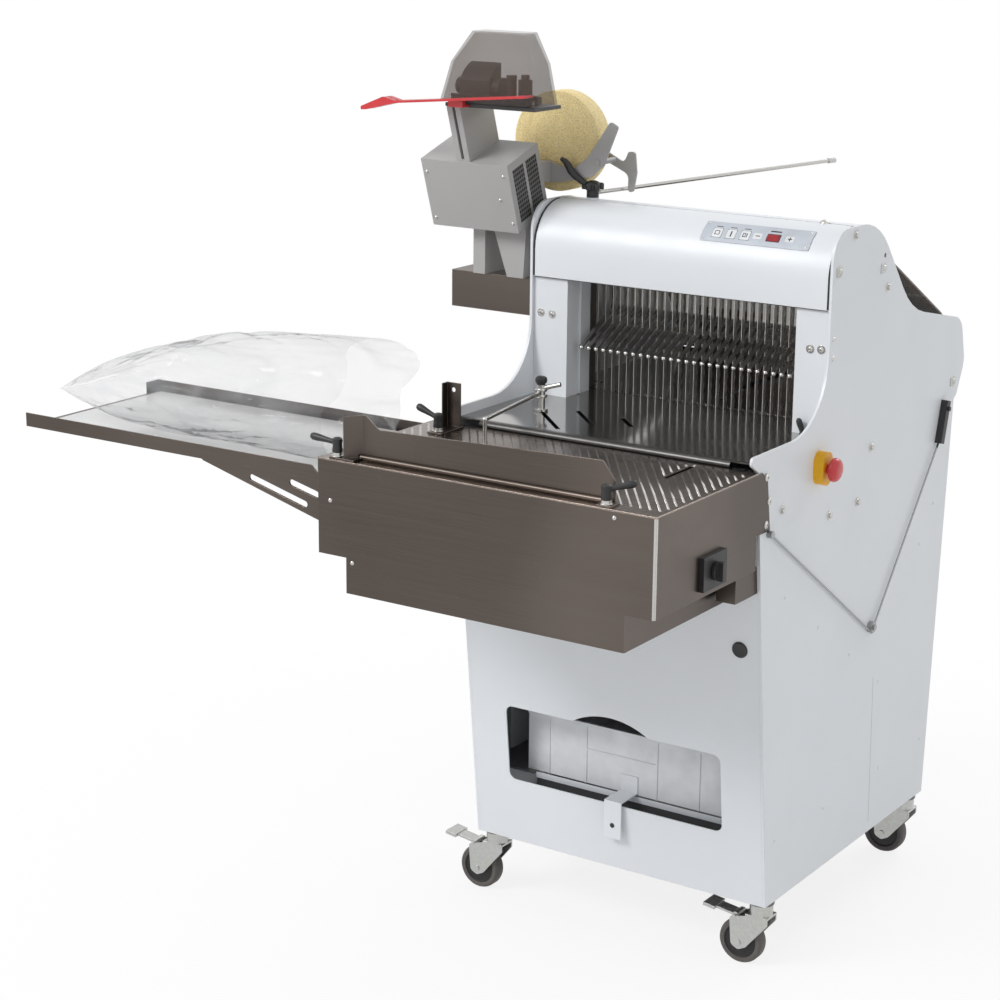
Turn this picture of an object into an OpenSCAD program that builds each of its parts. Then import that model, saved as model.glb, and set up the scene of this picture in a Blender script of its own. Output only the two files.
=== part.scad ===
// Bread slicer with packing table, bag tray and bag-neck closer.
// Millimetres, +Z up, the front toward -Y, the origin on the floor under the middle of the base.

/* [Cabinet] */
// Width across the two side panels
cab_w = 580; // [540:1:640]
// Depth of the cabinet at its base
cab_d = 630; // [600:1:680]
// Height of the cabinet base above the floor
base_z = 122; // [118:1:130]
// Forward lean of the front panel in degrees
front_lean = 6.2; // [5.4:0.1:6.6]
// Backward lean of the rear panel in degrees
rear_lean = 3.3; // [2.8:0.1:4]
// Thickness of a side panel
panel_t = 5; // [4:0.5:6]
// Thickness of the folded sheets
sheet_t = 2; // [1:0.5:2.5]
// Height of the table top above the floor
table_z = 900; // [890:1:920]
// Height of the crown above the table top
crown_h = 338; // [330:1:350]
// Radius of the scoop in the side panel above the table
scoop_r = 118; // [60:1:150]
// Radius of the front top corner of the side panel
brow_r = 50; // [20:1:70]
// Radius of the crest behind the hood
crest_r = 140; // [120:1:150]
// Radius of the saddle in the side panel
saddle_r = 165; // [100:1:200]
// Radius of the rear hump of the side panel
hump_r = 42; // [20:1:50]

/* [Hood and throat] */
// Width of the left fascia post
fascia_left_w = 74; // [70:1:76]
// Width of the right fascia post
fascia_right_w = 65; // [63:1:68]
// Height of the throat under the hood
throat_h = 210; // [190:1:225]
// Radius of the hood's rounded brow
hood_r = 80; // [60:1:81]
// Left end of the keypad
keypad_x = 36; // [-100:1:60]
// Length of the keypad
keypad_w = 201; // [120:1:220]

/* [Blades] */
// Number of blades in both sets
blade_count = 29; // [21:2:29]
// Distance between neighbouring blades
blade_pitch = 15; // [12:0.5:15]
// Width of a blade from front to back
blade_w = 12; // [10:0.5:14]
// Thickness of a blade
blade_t = 0.8; // [0.5:0.1:1.2]
// Distance between the teeth of a blade
tooth_p = 20; // [10:1:30]
// Depth of a tooth
tooth_d = 2; // [1:0.5:3]
// Travel of a blade frame each way
stroke = 10; // [6:1:12]
// Height of the frame bars
bar_h = 24; // [16:1:26]
// Depth of the frame bars
bar_t = 22; // [18:1:24]
// Radius of the frame guide rods
guide_r = 7; // [5:0.5:8]

/* [Hold-down comb] */
// Width of a finger
finger_w = 7.5; // [3:0.5:9]
// Thickness of a finger
finger_t = 3; // [2:0.5:4]
// Height of the finger tips above the table
tip_h = 89; // [70:1:100]
// Height of the finger bend above the table
bend_h = 145; // [130:1:160]

/* [Packing table] */
// How far the box front stands ahead of the throat
pack_reach = 551; // [520:1:580]
// How far the box reaches past the left side panel
pack_left = 40; // [30:1:60]
// Height of the upper part of the box
pack_h = 158; // [150:1:170]
// Height of the lower part of the box
pack_low_h = 59; // [50:1:80]
// Height of the front guide
guide_h = 77; // [60:1:90]
// Height of the bag post
post_h = 78; // [60:1:100]
// Height of the rod guide's clamp
clamp_h = 47; // [40:1:60]

/* [Bag tray] */
// Length of the bag tray
tray_len = 666; // [600:1:720]
// Depth of the bag tray
tray_d = 345; // [320:1:380]
// Height of the tray lips
lip_h = 24; // [16:1:30]
// Height of the inflated bag
bag_h = 196; // [150:1:210]
// Wall of the inflated bag
bag_t = 0.8; // [0.6:0.1:1.5]

/* [Bag-neck closer] */
// Lean of the closer housing in degrees
clip_lean = 18.3; // [16:0.1:20]
// Width of the closer housing
clip_w = 181; // [170:1:190]
// Depth of the closer housing
clip_d = 100; // [90:1:102]
// Height of the closer housing
clip_h = 127; // [124:1:129]
// Radius of the tape reel
reel_r = 88; // [60:1:89]
// Width of the tape reel
reel_w = 40; // [30:1:42]
// Length of the stay rod
stay_len = 513; // [300:1:520]

/* [Crumb bin] */
// Width of the bin opening
door_w = 425; // [420:1:440]
// Height of the bin opening
door_h = 142; // [140:1:170]
// Half width of the finger arch above the opening
arch_w = 75; // [50:1:90]
// Height of the finger arch
arch_h = 22; // [12:1:30]
// Depth of the bin
bin_d = 390; // [300:1:400]
// Wall of the bin
bin_t = 3; // [2:0.5:4]

/* [Drive] */
// Radius of the eccentric shaft
shaft_r = 12.5; // [10:0.5:14]
// Radius of the eccentric discs
ecc_r = 22; // [20:0.5:24]
// Radius of the shaft pulley
big_pulley_r = 75; // [60:1:78]
// Radius of the motor pulley
small_pulley_r = 37; // [30:1:40]
// Radius of the motor body
motor_r = 62; // [50:1:66]

/* [Casters] */
// Radius of a caster wheel
wheel_r = 40; // [36:1:42]
// Width of a caster wheel
wheel_w = 26; // [20:1:30]
// Distance from the swivel axis back to the axle
trail = 33; // [28:1:38]
// Distance of the swivel axis from the cabinet side
caster_in = 22; // [22:1:40]

/* [Fits] */
// Radial clearance of a pin running in its bore
run_gap = 0.05; // [0.02:0.01:0.1]
// Clearance between a cover and the side panel beside it
side_gap = 1; // [0.5:0.1:2]
// Clearance under a piece that slides on a plate
rest_gap = 0.4; // [0.3:0.1:0.8]

/* [Hidden] */
$fn = 48;
half = cab_w / 2;
inner = half - panel_t;
crown_z = table_z + crown_h;
hood_low_z = table_z + throat_h;
fascia_y = -166;
nose_z = table_z + 17;
tail_z = table_z - 29;
crest_y = 0;
saddle_y = 148;
saddle_z = crown_z - 172;
hump_y = 374;
hump_z = crown_z - 220;
throat_l = -half + fascia_left_w;
throat_r = half - fascia_right_w;
throat_mid = (throat_l + throat_r) / 2;
pin_r = 4;
hood_axis_y = fascia_y + 82;
hood_axis_z = crown_z - 9;
cover_axis_y = 30;
cover_axis_z = crown_z - 62;
blade_y = -68;
blade_y0 = blade_y - blade_w / 2;
blade_y1 = blade_y + blade_w / 2;
bar_gap = 0.5;
front_bar_y = blade_y0 - bar_gap - bar_t;
rear_bar_y = blade_y1 + bar_gap;
bar_low_z = table_z - 128;
bar_top_z = crown_z - 51;
guide_x = inner - 20;
shaft_z = table_z - 260;
beam_z = shaft_z - 84;
strap_x = 120;
strap_in = ecc_r + 2 * stroke + 0.5;
strap_out = strap_in + 11.5;
pulley_x = 225;
motor_y = cab_d / 2 - 100;
motor_z = base_z + 113;
comb_y = -28;
comb_z = crown_z - 103;
pack_front = fascia_y - pack_reach;
pack_top_z = table_z - 10;
pack_back = front_y(pack_top_z) - 3.57;
pack_step_z = pack_top_z - pack_h;
pack_low_z = pack_step_z - pack_low_h;
pack_l = -half - pack_left;
pack_r = half + sheet_t;
shelf_z = base_z + 126;
door_x = -2;
door_low = 121.7;
bin_l = door_x - door_w / 2 + 8;
bin_r = door_x + door_w / 2 - 8;
bin_y = -280;
bin_top_z = base_z + 238;
bin_ribs = [0.107, 0.294, 0.642, 0.845];
tray_x = pack_l - 4;
tray_y = pack_front + 27;
tray_z = table_z - 58;
blower_x = -60;
blower_z = pack_top_z - 70;
blower_y = pack_front + 112;
fan_r = 50;
estop_y = -190;
estop_z = table_z - 44;
clip_x = -half - 196;
clip_y = fascia_y - 14;
clip_z = crown_z - 55;
neck_rise = 5;
head_z = crown_z + 164;
reel_x = -half - 17;
reel_z = crown_z + 94;
reel_y = -60;
stay_x = -half + 61;
stay_y = -62;
caster_x = half - caster_in;
caster_y = cab_d / 2 - 30;

function front_y(z) = -cab_d / 2 - (z - base_z) * tan(front_lean);
function rear_y(z) = cab_d / 2 + (z - base_z) * tan(rear_lean);
function blade_x(i) = throat_mid + (i - (blade_count - 1) / 2) * blade_pitch;
function turned(v, a) = [v[0] * cos(a) - v[1] * sin(a), v[0] * sin(a) + v[1] * cos(a)];

function corner(p0, p1, p2, r) = r <= 0 ? [p1] :
  let (a = (p0 - p1) / norm(p0 - p1), b = (p2 - p1) / norm(p2 - p1), h = acos(a * b) / 2)
  let (c = p1 + (a + b) / norm(a + b) * r / sin(h), s = p1 + a * r / tan(h) - c)
  let (e = p1 + b * r / tan(h) - c, w = sign(cross(s, e)) * (180 - 2 * h), n = max(2, ceil(abs(w) / 11)))
  [for (i = [0:n]) c + turned(s, w * i / n)];

function flat(p) = [p[0], p[1]];

function rounded(p) = let (n = len(p)) [for (i = [0:n - 1])
  each corner(flat(p[(i + n - 1) % n]), flat(p[i]), flat(p[(i + 1) % n]), p[i][2])];

function bent(p) = let (n = len(p)) [for (i = [0:n - 1])
  each (i == 0 || i == n - 1) ? [flat(p[i])] : corner(flat(p[i - 1]), flat(p[i]), flat(p[i + 1]), p[i][2])];

function side_of(p, i) =
  let (d = p[min(i + 1, len(p) - 1)] - p[max(i - 1, 0)]) [-d[1], d[0]] / norm(d);

function ribbon(p, t) = concat(p, [for (i = [len(p) - 1:-1:0]) p[i] + t * side_of(p, i)]);

module along_x(x, l) translate([x, 0, 0]) rotate([90, 0, 90]) linear_extrude(l) children();
module along_y(y, l) translate([0, y + l, 0]) rotate([90, 0, 0]) linear_extrude(l) children();
module box(x0, y0, z0, x1, y1, z1) translate([x0, y0, z0]) cube([x1 - x0, y1 - y0, z1 - z0]);
module rod_x(y, z, x0, x1, r) translate([x0, y, z]) rotate([0, 90, 0]) cylinder(h = x1 - x0, r = r);
module rod_y(x, z, y0, y1, r) translate([x, y0, z]) rotate([-90, 0, 0]) cylinder(h = y1 - y0, r = r);
module rod_z(x, y, z0, z1, r) translate([x, y, z0]) cylinder(h = z1 - z0, r = r);
module both() {
  children();
  mirror([1, 0, 0]) children();
}
module rod_to(p, q, r) {
  d = q - p;
  translate(p) rotate([0, acos(d[2] / norm(d)), atan2(d[1], d[0])]) cylinder(h = norm(d), r = r);
}
module on_front() translate([0, -cab_d / 2, base_z]) rotate([front_lean, 0, 0]) children();
module on_rear() translate([0, cab_d / 2, base_z]) rotate([-rear_lean, 0, 0]) children();
module on_clip() translate([clip_x, clip_y, clip_z]) rotate([clip_lean, 0, 0]) children();

side_outline = rounded([
  [-cab_d / 2, base_z, 0],
  [front_y(table_z - 10), table_z - 10, 8],
  [fascia_y - 256, table_z + 5, 6],
  [fascia_y - 254, nose_z, 6],
  [fascia_y, nose_z, scoop_r],
  [fascia_y, crown_z, brow_r],
  [crest_y, crown_z, crest_r],
  [saddle_y, saddle_z, saddle_r],
  [hump_y, hump_z, hump_r],
  [hump_y + 23, table_z + 35, 40],
  [rear_y(tail_z) + 11, tail_z + 7, 6],
  [rear_y(tail_z), tail_z, 0],
  [cab_d / 2, base_z, 0]
]);

module side_panel(x) {
  difference() {
    along_x(x, panel_t) polygon(side_outline);
    rod_x(hood_axis_y, hood_axis_z, x - 1, x + panel_t + 1, pin_r + run_gap);
    rod_x(cover_axis_y, cover_axis_z, x - 1, x + panel_t + 1, pin_r + run_gap);
  }
}

module left_side_panel() color("white") side_panel(-half);

module right_side_panel() color("white") side_panel(inner);

module base_frame() color("dimgray") {
  rail_z = base_z + 30;
  y0 = -cab_d / 2 + 12;
  y1 = cab_d / 2 - 12;
  both() {
    box(inner - 44, y0, base_z, inner, y1, base_z + 4);
    box(inner - 4, y0, base_z, inner, y1, rail_z);
    for (y = [y0 + 33, y1 - 53]) {
      box(inner - 30, y, base_z + 4, inner, y + 4, table_z - 34);
      box(inner - 4, y, base_z + 4, inner, y + 30, table_z - 34);
    }
    box(207, blade_y - 20, base_z + 4, 222, blade_y + 20, beam_z);
    for (s = [-1, 1]) {
      rod_z(caster_x, s * caster_y, base_z - 6, base_z, caster_in);
      rod_z(caster_x, s * caster_y, base_z - 24, base_z - 6, 6);
    }
    box(188, -290, shelf_z - 4, inner, 130, shelf_z);
    box(inner - 30, y0 + 37, table_z - 60, inner, -195, table_z - 56);
    box(inner - 30, y1 - 49, table_z - 60, inner, 338, table_z - 56);
  }
  for (y = [y0, -20, y1 - 40]) {
    box(44 - inner, y, base_z, inner - 44, y + 40, base_z + 4);
    box(44 - inner, y, base_z, inner - 44, y + 4, rail_z);
  }
  box(-inner, blade_y - 20, base_z, inner, blade_y + 20, base_z + 4);
  box(-222, blade_y - 32, beam_z - 16, 222, blade_y + 32, beam_z);
  box(-90, -20, rail_z - 6, 190, y1 - 36, rail_z);
  box(-inner, -215, table_z - 60, inner, -211, table_z - sheet_t);
  box(5 - inner, -34, table_z - 60, inner - 5, -26, table_z - sheet_t);
  box(-inner, 330, table_z - 60, inner, 338, table_z - sheet_t);
  rod_y(0, table_z - 43, -26, 330, 8);
}

module front_panel() color("white") {
  front_len = (table_z - 16 - base_z) / cos(front_lean);
  arch_r = (arch_w * arch_w + arch_h * arch_h) / (2 * arch_h);
  x0 = door_x - door_w / 2;
  x1 = door_x + door_w / 2;
  z1 = door_low + door_h;
  on_front() along_y(0, sheet_t) difference() {
    translate([-inner, 0]) square([2 * inner, front_len]);
    polygon(rounded([[x0, door_low, 14], [x1, door_low, 14], [x1, z1, 14], [x0, z1, 14]]));
    intersection() {
      translate([door_x, z1 + arch_h - arch_r]) circle(arch_r);
      translate([door_x - arch_w - 5, z1 - 1]) square([2 * arch_w + 10, arch_h + 5]);
    }
  }
}

module rear_panel() color("white") on_rear() {
  rear_len = (tail_z - base_z) / cos(rear_lean);
  difference() {
    union() {
      box(-inner, -sheet_t, 0, inner, 0, rear_len);
      rod_y(150, 60, -sheet_t, 22, 13);
    }
    for (x = [-150, 150], k = [0:5]) box(x - 60, -sheet_t - 1, 420 + k * 22, x + 60, 1, 426 + k * 22);
    rod_y(150, 60, -sheet_t - 1, 23, 6.5);
  }
}

module fascia_posts() color("white") {
  y0 = fascia_y + 6;
  y1 = y0 + sheet_t;
  top = hood_low_z + 20;
  union() {
    box(-inner, y0, table_z, throat_l, y1, top);
    box(throat_l - sheet_t, y0, table_z, throat_l, blade_y0 - 10, top);
  }
  union() {
    box(throat_r, y0, table_z, inner, y1, top);
    box(throat_r, y0, table_z, throat_r + sheet_t, blade_y0 - 10, top);
  }
}

module top_cover() color("white") {
  turn = atan2(crown_z - saddle_z, saddle_y - crest_y);
  y0 = crest_y - crest_r * tan(turn / 2);
  r = crest_r - 1;
  sweep = acos((cover_axis_y - 12 - y0) / r);
  arc = [for (i = [0:6]) let (a = 90 + (sweep - 90) * i / 6) [y0 + r * cos(a), crown_z - crest_r + r * sin(a)]];
  difference() {
    union() {
      along_x(-inner, 2 * inner) polygon(ribbon(concat([[hood_axis_y + 10, crown_z - 1]], arc), -sheet_t));
      rod_z(stay_x, stay_y, crown_z - 16, crown_z + 2, 11);
    }
    rod_z(stay_x, stay_y, crown_z - 17, crown_z + 3, 5 + run_gap);
  }
}

module diagonal_slot(x, y, l) translate([x, y, table_z - 10]) rotate([0, 0, -45]) box(0, -4, 0, l, 4, 20);

module outfeed_table() color("silver") {
  edge_y = fascia_y - 226;
  difference() {
    union() {
      box(-inner, edge_y, table_z - sheet_t, inner, blade_y - 2, table_z);
      rod_x(edge_y, table_z - 7, -half + 52, half - 52, 7);
    }
    for (i = [0:blade_count - 1])
      box(blade_x(i) - 1.6, blade_y0 - 4, table_z - 5, blade_x(i) + 1.6, blade_y, table_z + 1);
    both() box(guide_x - 35, front_bar_y - 13, table_z - 5, inner + 1, blade_y, table_z + 1);
    diagonal_slot(-200, -268, 142);
    diagonal_slot(-145, -235, 106);
    diagonal_slot(-56, -236, 66);
  }
}

module infeed_table() color("silver") {
  difference() {
    box(-inner, blade_y + 2, table_z - sheet_t, inner, 366, table_z);
    for (i = [0:blade_count - 1])
      box(blade_x(i) - 1.6, blade_y, table_z - 5, blade_x(i) + 1.6, blade_y1 + 4, table_z + 1);
    both() box(guide_x - 35, blade_y, table_z - 5, inner + 1, comb_y + 17, table_z + 1);
    box(-9, -4, table_z - 5, 9, 310, table_z + 1);
  }
}

module frame_guides() color("gray") {
  low = bar_low_z - 82;
  top = crown_z - 18;
  both() {
    difference() {
      union() {
        box(inner - 5, front_bar_y - 12, low, inner, comb_y + 16, top);
        box(guide_x - 12, front_bar_y, low, inner - 5, rear_bar_y + bar_t, low + 12);
        box(guide_x - 12, front_bar_y, top - 6, inner - 5, rear_bar_y + bar_t, top);
        for (y = [front_bar_y + bar_t / 2, rear_bar_y + bar_t / 2]) rod_z(guide_x, y, low, top, guide_r);
      }
      rod_x(comb_y, comb_z, inner - 6, inner + 1, 6 + run_gap);
    }
  }
}

module bearing_blocks() color("darkslategray") {
  for (s = [-1, 1]) difference() {
    union() {
      box(s * 190 - 22, blade_y - 30, beam_z, s * 190 + 22, blade_y + 30, beam_z + 12);
      box(s * 190 - 14, blade_y - 24, beam_z + 12, s * 190 + 14, blade_y + 24, shaft_z);
      rod_x(blade_y, shaft_z, s * 190 - 14, s * 190 + 14, 24);
    }
    rod_x(blade_y, shaft_z, s * 190 - 15, s * 190 + 15, shaft_r + run_gap);
  }
}

module drive_motor() color("steelblue") {
  difference() {
    union() {
      rod_x(motor_y, motor_z, -50, 160, motor_r);
      for (k = [0:6]) rod_x(motor_y, motor_z, -20 + k * 22, -12 + k * 22, motor_r + 4);
      rod_x(motor_y, motor_z, 160, 172, 40);
      box(-20, motor_y - 58, base_z + 30, 140, motor_y + 46, base_z + 40);
      box(0, motor_y - 30, base_z + 30, 120, motor_y + 30, motor_z);
    }
    rod_x(motor_y, motor_z, 140, 173, 9 + run_gap);
  }
}

module pulley(y, z, r) {
  rod_x(y, z, pulley_x, pulley_x + 20, r - 4);
  rod_x(y, z, pulley_x, pulley_x + 2.5, r);
  rod_x(y, z, pulley_x + 17.5, pulley_x + 20, r);
}

module motor_pulley() color("gray") {
  rod_x(motor_y, motor_z, 145, pulley_x + 20, 9);
  pulley(motor_y, motor_z, small_pulley_r);
}

module belt_loop(g) hull() {
  translate([blade_y, shaft_z]) circle(big_pulley_r - 4 + g);
  translate([motor_y, motor_z]) circle(small_pulley_r - 4 + g);
}

module drive_belt() color("black") along_x(pulley_x + 3, 14) difference() {
  belt_loop(6.5);
  belt_loop(0.5);
}

module eccentric_shaft() color("gray") {
  rod_x(blade_y, shaft_z, -215, pulley_x + 20, shaft_r);
  rod_x(blade_y, shaft_z + stroke, -strap_x - 7, -strap_x + 7, ecc_r);
  rod_x(blade_y, shaft_z - stroke, strap_x - 7, strap_x + 7, ecc_r);
  pulley(blade_y, shaft_z, big_pulley_r);
}

module blade_frame(y, x, first, slot_y) {
  difference() {
    union() {
      for (z = [bar_low_z, bar_top_z])
        box(-guide_x - 12, y, z - bar_h / 2, guide_x + 12, y + bar_t, z + bar_h / 2);
      both() box(guide_x - 34, y, bar_low_z, guide_x - 14, y + bar_t, bar_top_z);
      box(x - 8, y, shaft_z + strap_in + 2, x + 8, y + bar_t, bar_low_z);
      rod_x(blade_y, shaft_z, x - 8, x + 8, strap_out);
    }
    rod_x(blade_y, shaft_z, x - 9, x + 9, strap_in);
    for (s = [-1, 1]) rod_z(s * guide_x, y + bar_t / 2, bar_low_z - 60, bar_top_z + 60, guide_r + run_gap);
    for (i = [first:2:blade_count - 1], z = [bar_low_z, bar_top_z])
      box(blade_x(i) - blade_t / 2 - 0.1, slot_y, z - 7, blade_x(i) + blade_t / 2 + 0.1, slot_y + 16, z + 7);
  }
}

module blade_frame_front() color("slategray") blade_frame(front_bar_y, -strap_x, 0, blade_y0 - bar_gap - 15);

module blade_frame_rear() color("slategray") blade_frame(rear_bar_y, strap_x, 1, blade_y1 + bar_gap - 1);

tooth_n = floor((throat_h + 40) / tooth_p);
tooth_edge = [for (k = [0:tooth_n], j = [0, 1])
  [blade_y1 - j * tooth_d, table_z - 25 + (k + j / 2) * tooth_p]];

module blade_set(first, s) {
  z0 = bar_low_z - 6;
  z1 = bar_top_z + 6;
  a = s < 0 ? blade_y0 : blade_y1;
  t = a + s * (bar_gap + 14);
  tab_low = [[t, z0 + 12], [t, z0]];
  tab_top = [[t, z1], [t, z1 - 12]];
  outline = s < 0 ?
    concat([[a, z0 + 12]], tab_low, [[blade_y1, z0]], tooth_edge, [[blade_y1, z1]], tab_top, [[a, z1 - 12]]) :
    concat([[blade_y0, z0], [t, z0], [t, z0 + 12], [a, z0 + 12]], tooth_edge,
      [[a, z1 - 12], [t, z1 - 12], [t, z1], [blade_y0, z1]]);
  for (i = [first:2:blade_count - 1]) along_x(blade_x(i) - blade_t / 2, blade_t) polygon(outline);
}

module blades_front() color("gainsboro") blade_set(0, -1);

module blades_rear() color("gainsboro") blade_set(1, 1);

module hold_down_comb() color("lightgray") {
  finger = bent([
    [comb_y - 3, comb_z, 0],
    [comb_y - 3, table_z + bend_h, 16],
    [fascia_y + 25, table_z + tip_h, 0]
  ]);
  rod_x(comb_y, comb_z, -inner + 0.5, inner - 0.5, 6);
  for (i = [0:blade_count - 2])
    along_x(blade_x(i) + blade_pitch / 2 - finger_w / 2, finger_w) polygon(ribbon(finger, -finger_t));
}

module loaf_pusher() color("silver") {
  difference() {
    union() {
      box(-200, 284, table_z + 1, 200, 287, table_z + 100);
      box(-6, 270, table_z - 30, 6, 300, table_z + 1);
      box(-50, 270, table_z + 1, 50, 300, table_z + 4);
      box(-25, 255, table_z - 58, 25, 312, table_z - 28);
    }
    rod_y(0, table_z - 43, 250, 320, 8 + run_gap);
  }
}

module hood() color("white") {
  sheet = bent([
    [fascia_y + 1, hood_low_z, 0],
    [fascia_y + 1, crown_z - 1, hood_r],
    [hood_axis_y + 4, crown_z - 1, 0]
  ]);
  w = inner - side_gap;
  along_x(-w, 2 * w) polygon(ribbon(sheet, -sheet_t));
  both() {
    rod_x(hood_axis_y, hood_axis_z, w - 3, w, 7);
    rod_x(hood_axis_y, hood_axis_z, w - 3, half - 1, pin_r);
  }
}

module control_panel() color("dimgray") {
  arc = [for (i = [0:6]) let (a = 33 + i * 5) [
    fascia_y + 1 + hood_r - (hood_r + 1) * cos(a),
    crown_z - 1 - hood_r + (hood_r + 1) * sin(a)]];
  along_x(keypad_x, keypad_w) polygon(ribbon(arc, -0.96));
}

module rear_cover() color([0.4, 0.35, 0.3, 0.5]) {
  sheet = bent([
    [cover_axis_y, cover_axis_z + 8, 0],
    [300, crown_z - 202, 30],
    [368, table_z + 8, 0]
  ]);
  w = inner - side_gap - 0.5;
  along_x(-w, 2 * w) polygon(ribbon(sheet, -3));
  both() {
    rod_x(cover_axis_y, cover_axis_z, w - 4, w, 10);
    rod_x(cover_axis_y, cover_axis_z, w - 4, half - 1, pin_r);
  }
}

module crumb_bin() color("gainsboro") {
  z0 = shelf_z + rest_gap;
  y1 = bin_y + bin_d;
  difference() {
    box(bin_l, bin_y, z0, bin_r, y1, bin_top_z);
    box(bin_l + bin_t, bin_y + bin_t, z0 + bin_t, bin_r - bin_t, y1 - bin_t, bin_top_z + 1);
  }
  w = bin_r - bin_l;
  for (f = bin_ribs) box(bin_l + w * f - 1.5, bin_y - 1.5, z0, bin_l + w * f + 1.5, bin_y + 1, bin_top_z);
  box(bin_l + w * bin_ribs[1], bin_y - 1.5, bin_top_z - 50, bin_l + w * bin_ribs[2], bin_y + 1, bin_top_z - 47);
  box(bin_l, bin_y - 3, bin_top_z - 6, bin_r, bin_y + 1, bin_top_z);
  tab_y = front_y(base_z + 62) - 14;
  box(-15, tab_y, base_z + 62, 19, tab_y + 2, z0 + 4);
  box(-15, tab_y, z0 + 2, 19, bin_y, z0 + 4);
  box(-15, bin_y - 2, z0 + 2, 19, bin_y, base_z + 160);
}

module estop_base() color("gold") {
  difference() {
    union() {
      box(half, estop_y - 17, estop_z - 11, half + 18, estop_y + 17, estop_z + 11);
      for (s = [-1, 1]) rod_x(estop_y, estop_z + s * 11, half, half + 18, 17);
    }
    rod_x(estop_y, estop_z, half + 4, half + 19, 8 + run_gap);
  }
}

module estop_button() color("red") {
  rod_x(estop_y, estop_z, half + 11, half + 28, 8);
  rod_x(estop_y, estop_z, half + 26, half + 36, 20);
  rod_x(estop_y, estop_z, half + 36, half + 40, 17);
}

module side_cable() color("dimgray") {
  x = half + 5;
  y0 = -359;
  z0 = table_z - 118;
  pulley_y = 42;
  pulley_z = table_z - 379;
  rod_x(y0, z0, half, half + 9, 6);
  rod_to([x, y0, z0], [x, pulley_y, pulley_z - 10], 1.8);
  translate([x, pulley_y, pulley_z - 10]) sphere(2.6, $fn = 24);
  rod_to([x, pulley_y, pulley_z - 10], [x, 289, table_z - 96], 1.8);
  rod_x(pulley_y, pulley_z, half, half + 9, 10);
  rod_x(pulley_y, pulley_z, half, half + 12, 5);
  translate([half, 299, table_z - 60]) rotate([-15.3, 0, 0]) box(0, -7, -39, 13, 7, 39);
  rod_x(305, table_z - 36, half, half + 17, 4);
}

module packing_box() color("rosybrown") {
  top = pack_top_z - sheet_t;
  t = sheet_t;
  low_l = pack_l + 55;
  low_r = half - 48;
  union() {
    difference() {
      union() {
        box(pack_l, pack_front, pack_step_z, pack_r, pack_back, top);
        box(low_l, pack_front, pack_low_z, low_r, pack_back, pack_step_z + 1);
      }
      box(pack_l + t, pack_front + t, pack_step_z + t, pack_r - t, pack_back - t, top + 1);
      box(low_l + t, pack_front + t, pack_low_z + t, low_r - t, pack_back - t, pack_step_z + t + 1);
      box(pack_l - 1, blower_y + 4, blower_z + 32, pack_l + t + 1, blower_y + 86, blower_z + 52);
    }
    along_x(half, t) polygon([
      [pack_back - 1, top], [pack_back + 14, top], [pack_back + 32, top - 17],
      [pack_back + 45, top - 100], [pack_back - 1, top - 100]]);
  }
  difference() {
    for (x = [-half + 6, half - 40])
      box(x, pack_back - 48, pack_step_z - 45, x + 34, pack_back + 62, pack_step_z);
    on_front() box(-half, 0, 0, half, 300, table_z);
    box(low_l, pack_front, pack_low_z - 1, low_r, pack_back, pack_step_z);
  }
}

module slide_plate() color("silver") {
  difference() {
    box(pack_l, pack_front, pack_top_z - sheet_t, pack_r, pack_back, pack_top_z);
    box(182, pack_back - 110, pack_top_z - 5, 190, pack_back - 19, pack_top_z + 1);
  }
}

module blower_housing() color("dimgray") {
  y0 = blower_y;
  y1 = blower_y + 90;
  z0 = blower_z + 26;
  difference() {
    union() {
      rod_y(blower_x, blower_z, y0, y1, 64);
      box(pack_l + sheet_t, y0, z0, blower_x, y1, blower_z + 58);
      box(blower_x - 40, y0, pack_low_z + sheet_t, blower_x + 40, y1, blower_z - 40);
    }
    rod_y(blower_x, blower_z, y0 + 8, y1 - 2, 61);
    box(pack_l, y0 + 2, z0 + 2, blower_x, y1 - 2, blower_z + 56);
    rod_y(blower_x, blower_z, y1 - 3, y1 + 1, 30);
    rod_y(blower_x, blower_z, y0 - 1, y0 + 9, 6 + run_gap);
  }
}

module blower_fan() color("gray") {
  y0 = blower_y + 10;
  rod_y(blower_x, blower_z, blower_y + 1, y0 + 40, 6);
  rod_y(blower_x, blower_z, y0, y0 + 3, fan_r);
  rod_y(blower_x, blower_z, y0, y0 + 40, 14);
  for (k = [0:11]) translate([blower_x, y0, blower_z]) rotate([0, k * 30, 0]) box(30, 0, -1, fan_r - 1, 68, 1);
}

module switch_plate() color("black") {
  difference() {
    box(pack_r, -584, table_z - 157, pack_r + 8, -512, table_z - 103);
    rod_x(-548, table_z - 130, pack_r + 1, pack_r + 9, 5 + run_gap);
  }
}

module switch_knob() color("dimgray") {
  rod_x(-548, table_z - 130, pack_r + 3, pack_r + 10, 5);
  rod_x(-548, table_z - 130, pack_r + 9, pack_r + 14, 15);
  box(pack_r + 13, -552, table_z - 145, pack_r + 23, -544, table_z - 115);
}

module guide_lever(x, y, z, l, lift, turn) {
  translate([x, y, z]) rotate([0, 0, turn]) difference() {
    union() {
      cylinder(h = 30, r = 7);
      rod_to([0, 0, 22], [l, 0, 22 + lift], 4.5);
      translate([l, 0, 22 + lift]) sphere(5.5, $fn = 24);
    }
    translate([0, 0, -1]) cylinder(h = 20, r = 4 + run_gap);
  }
}

guide_z = pack_top_z + rest_gap;
post_y = pack_back - 29;
post_x = -267;
stud_y = pack_front + 10;
left_stud_x = -298;
right_stud_x = 200;

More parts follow.
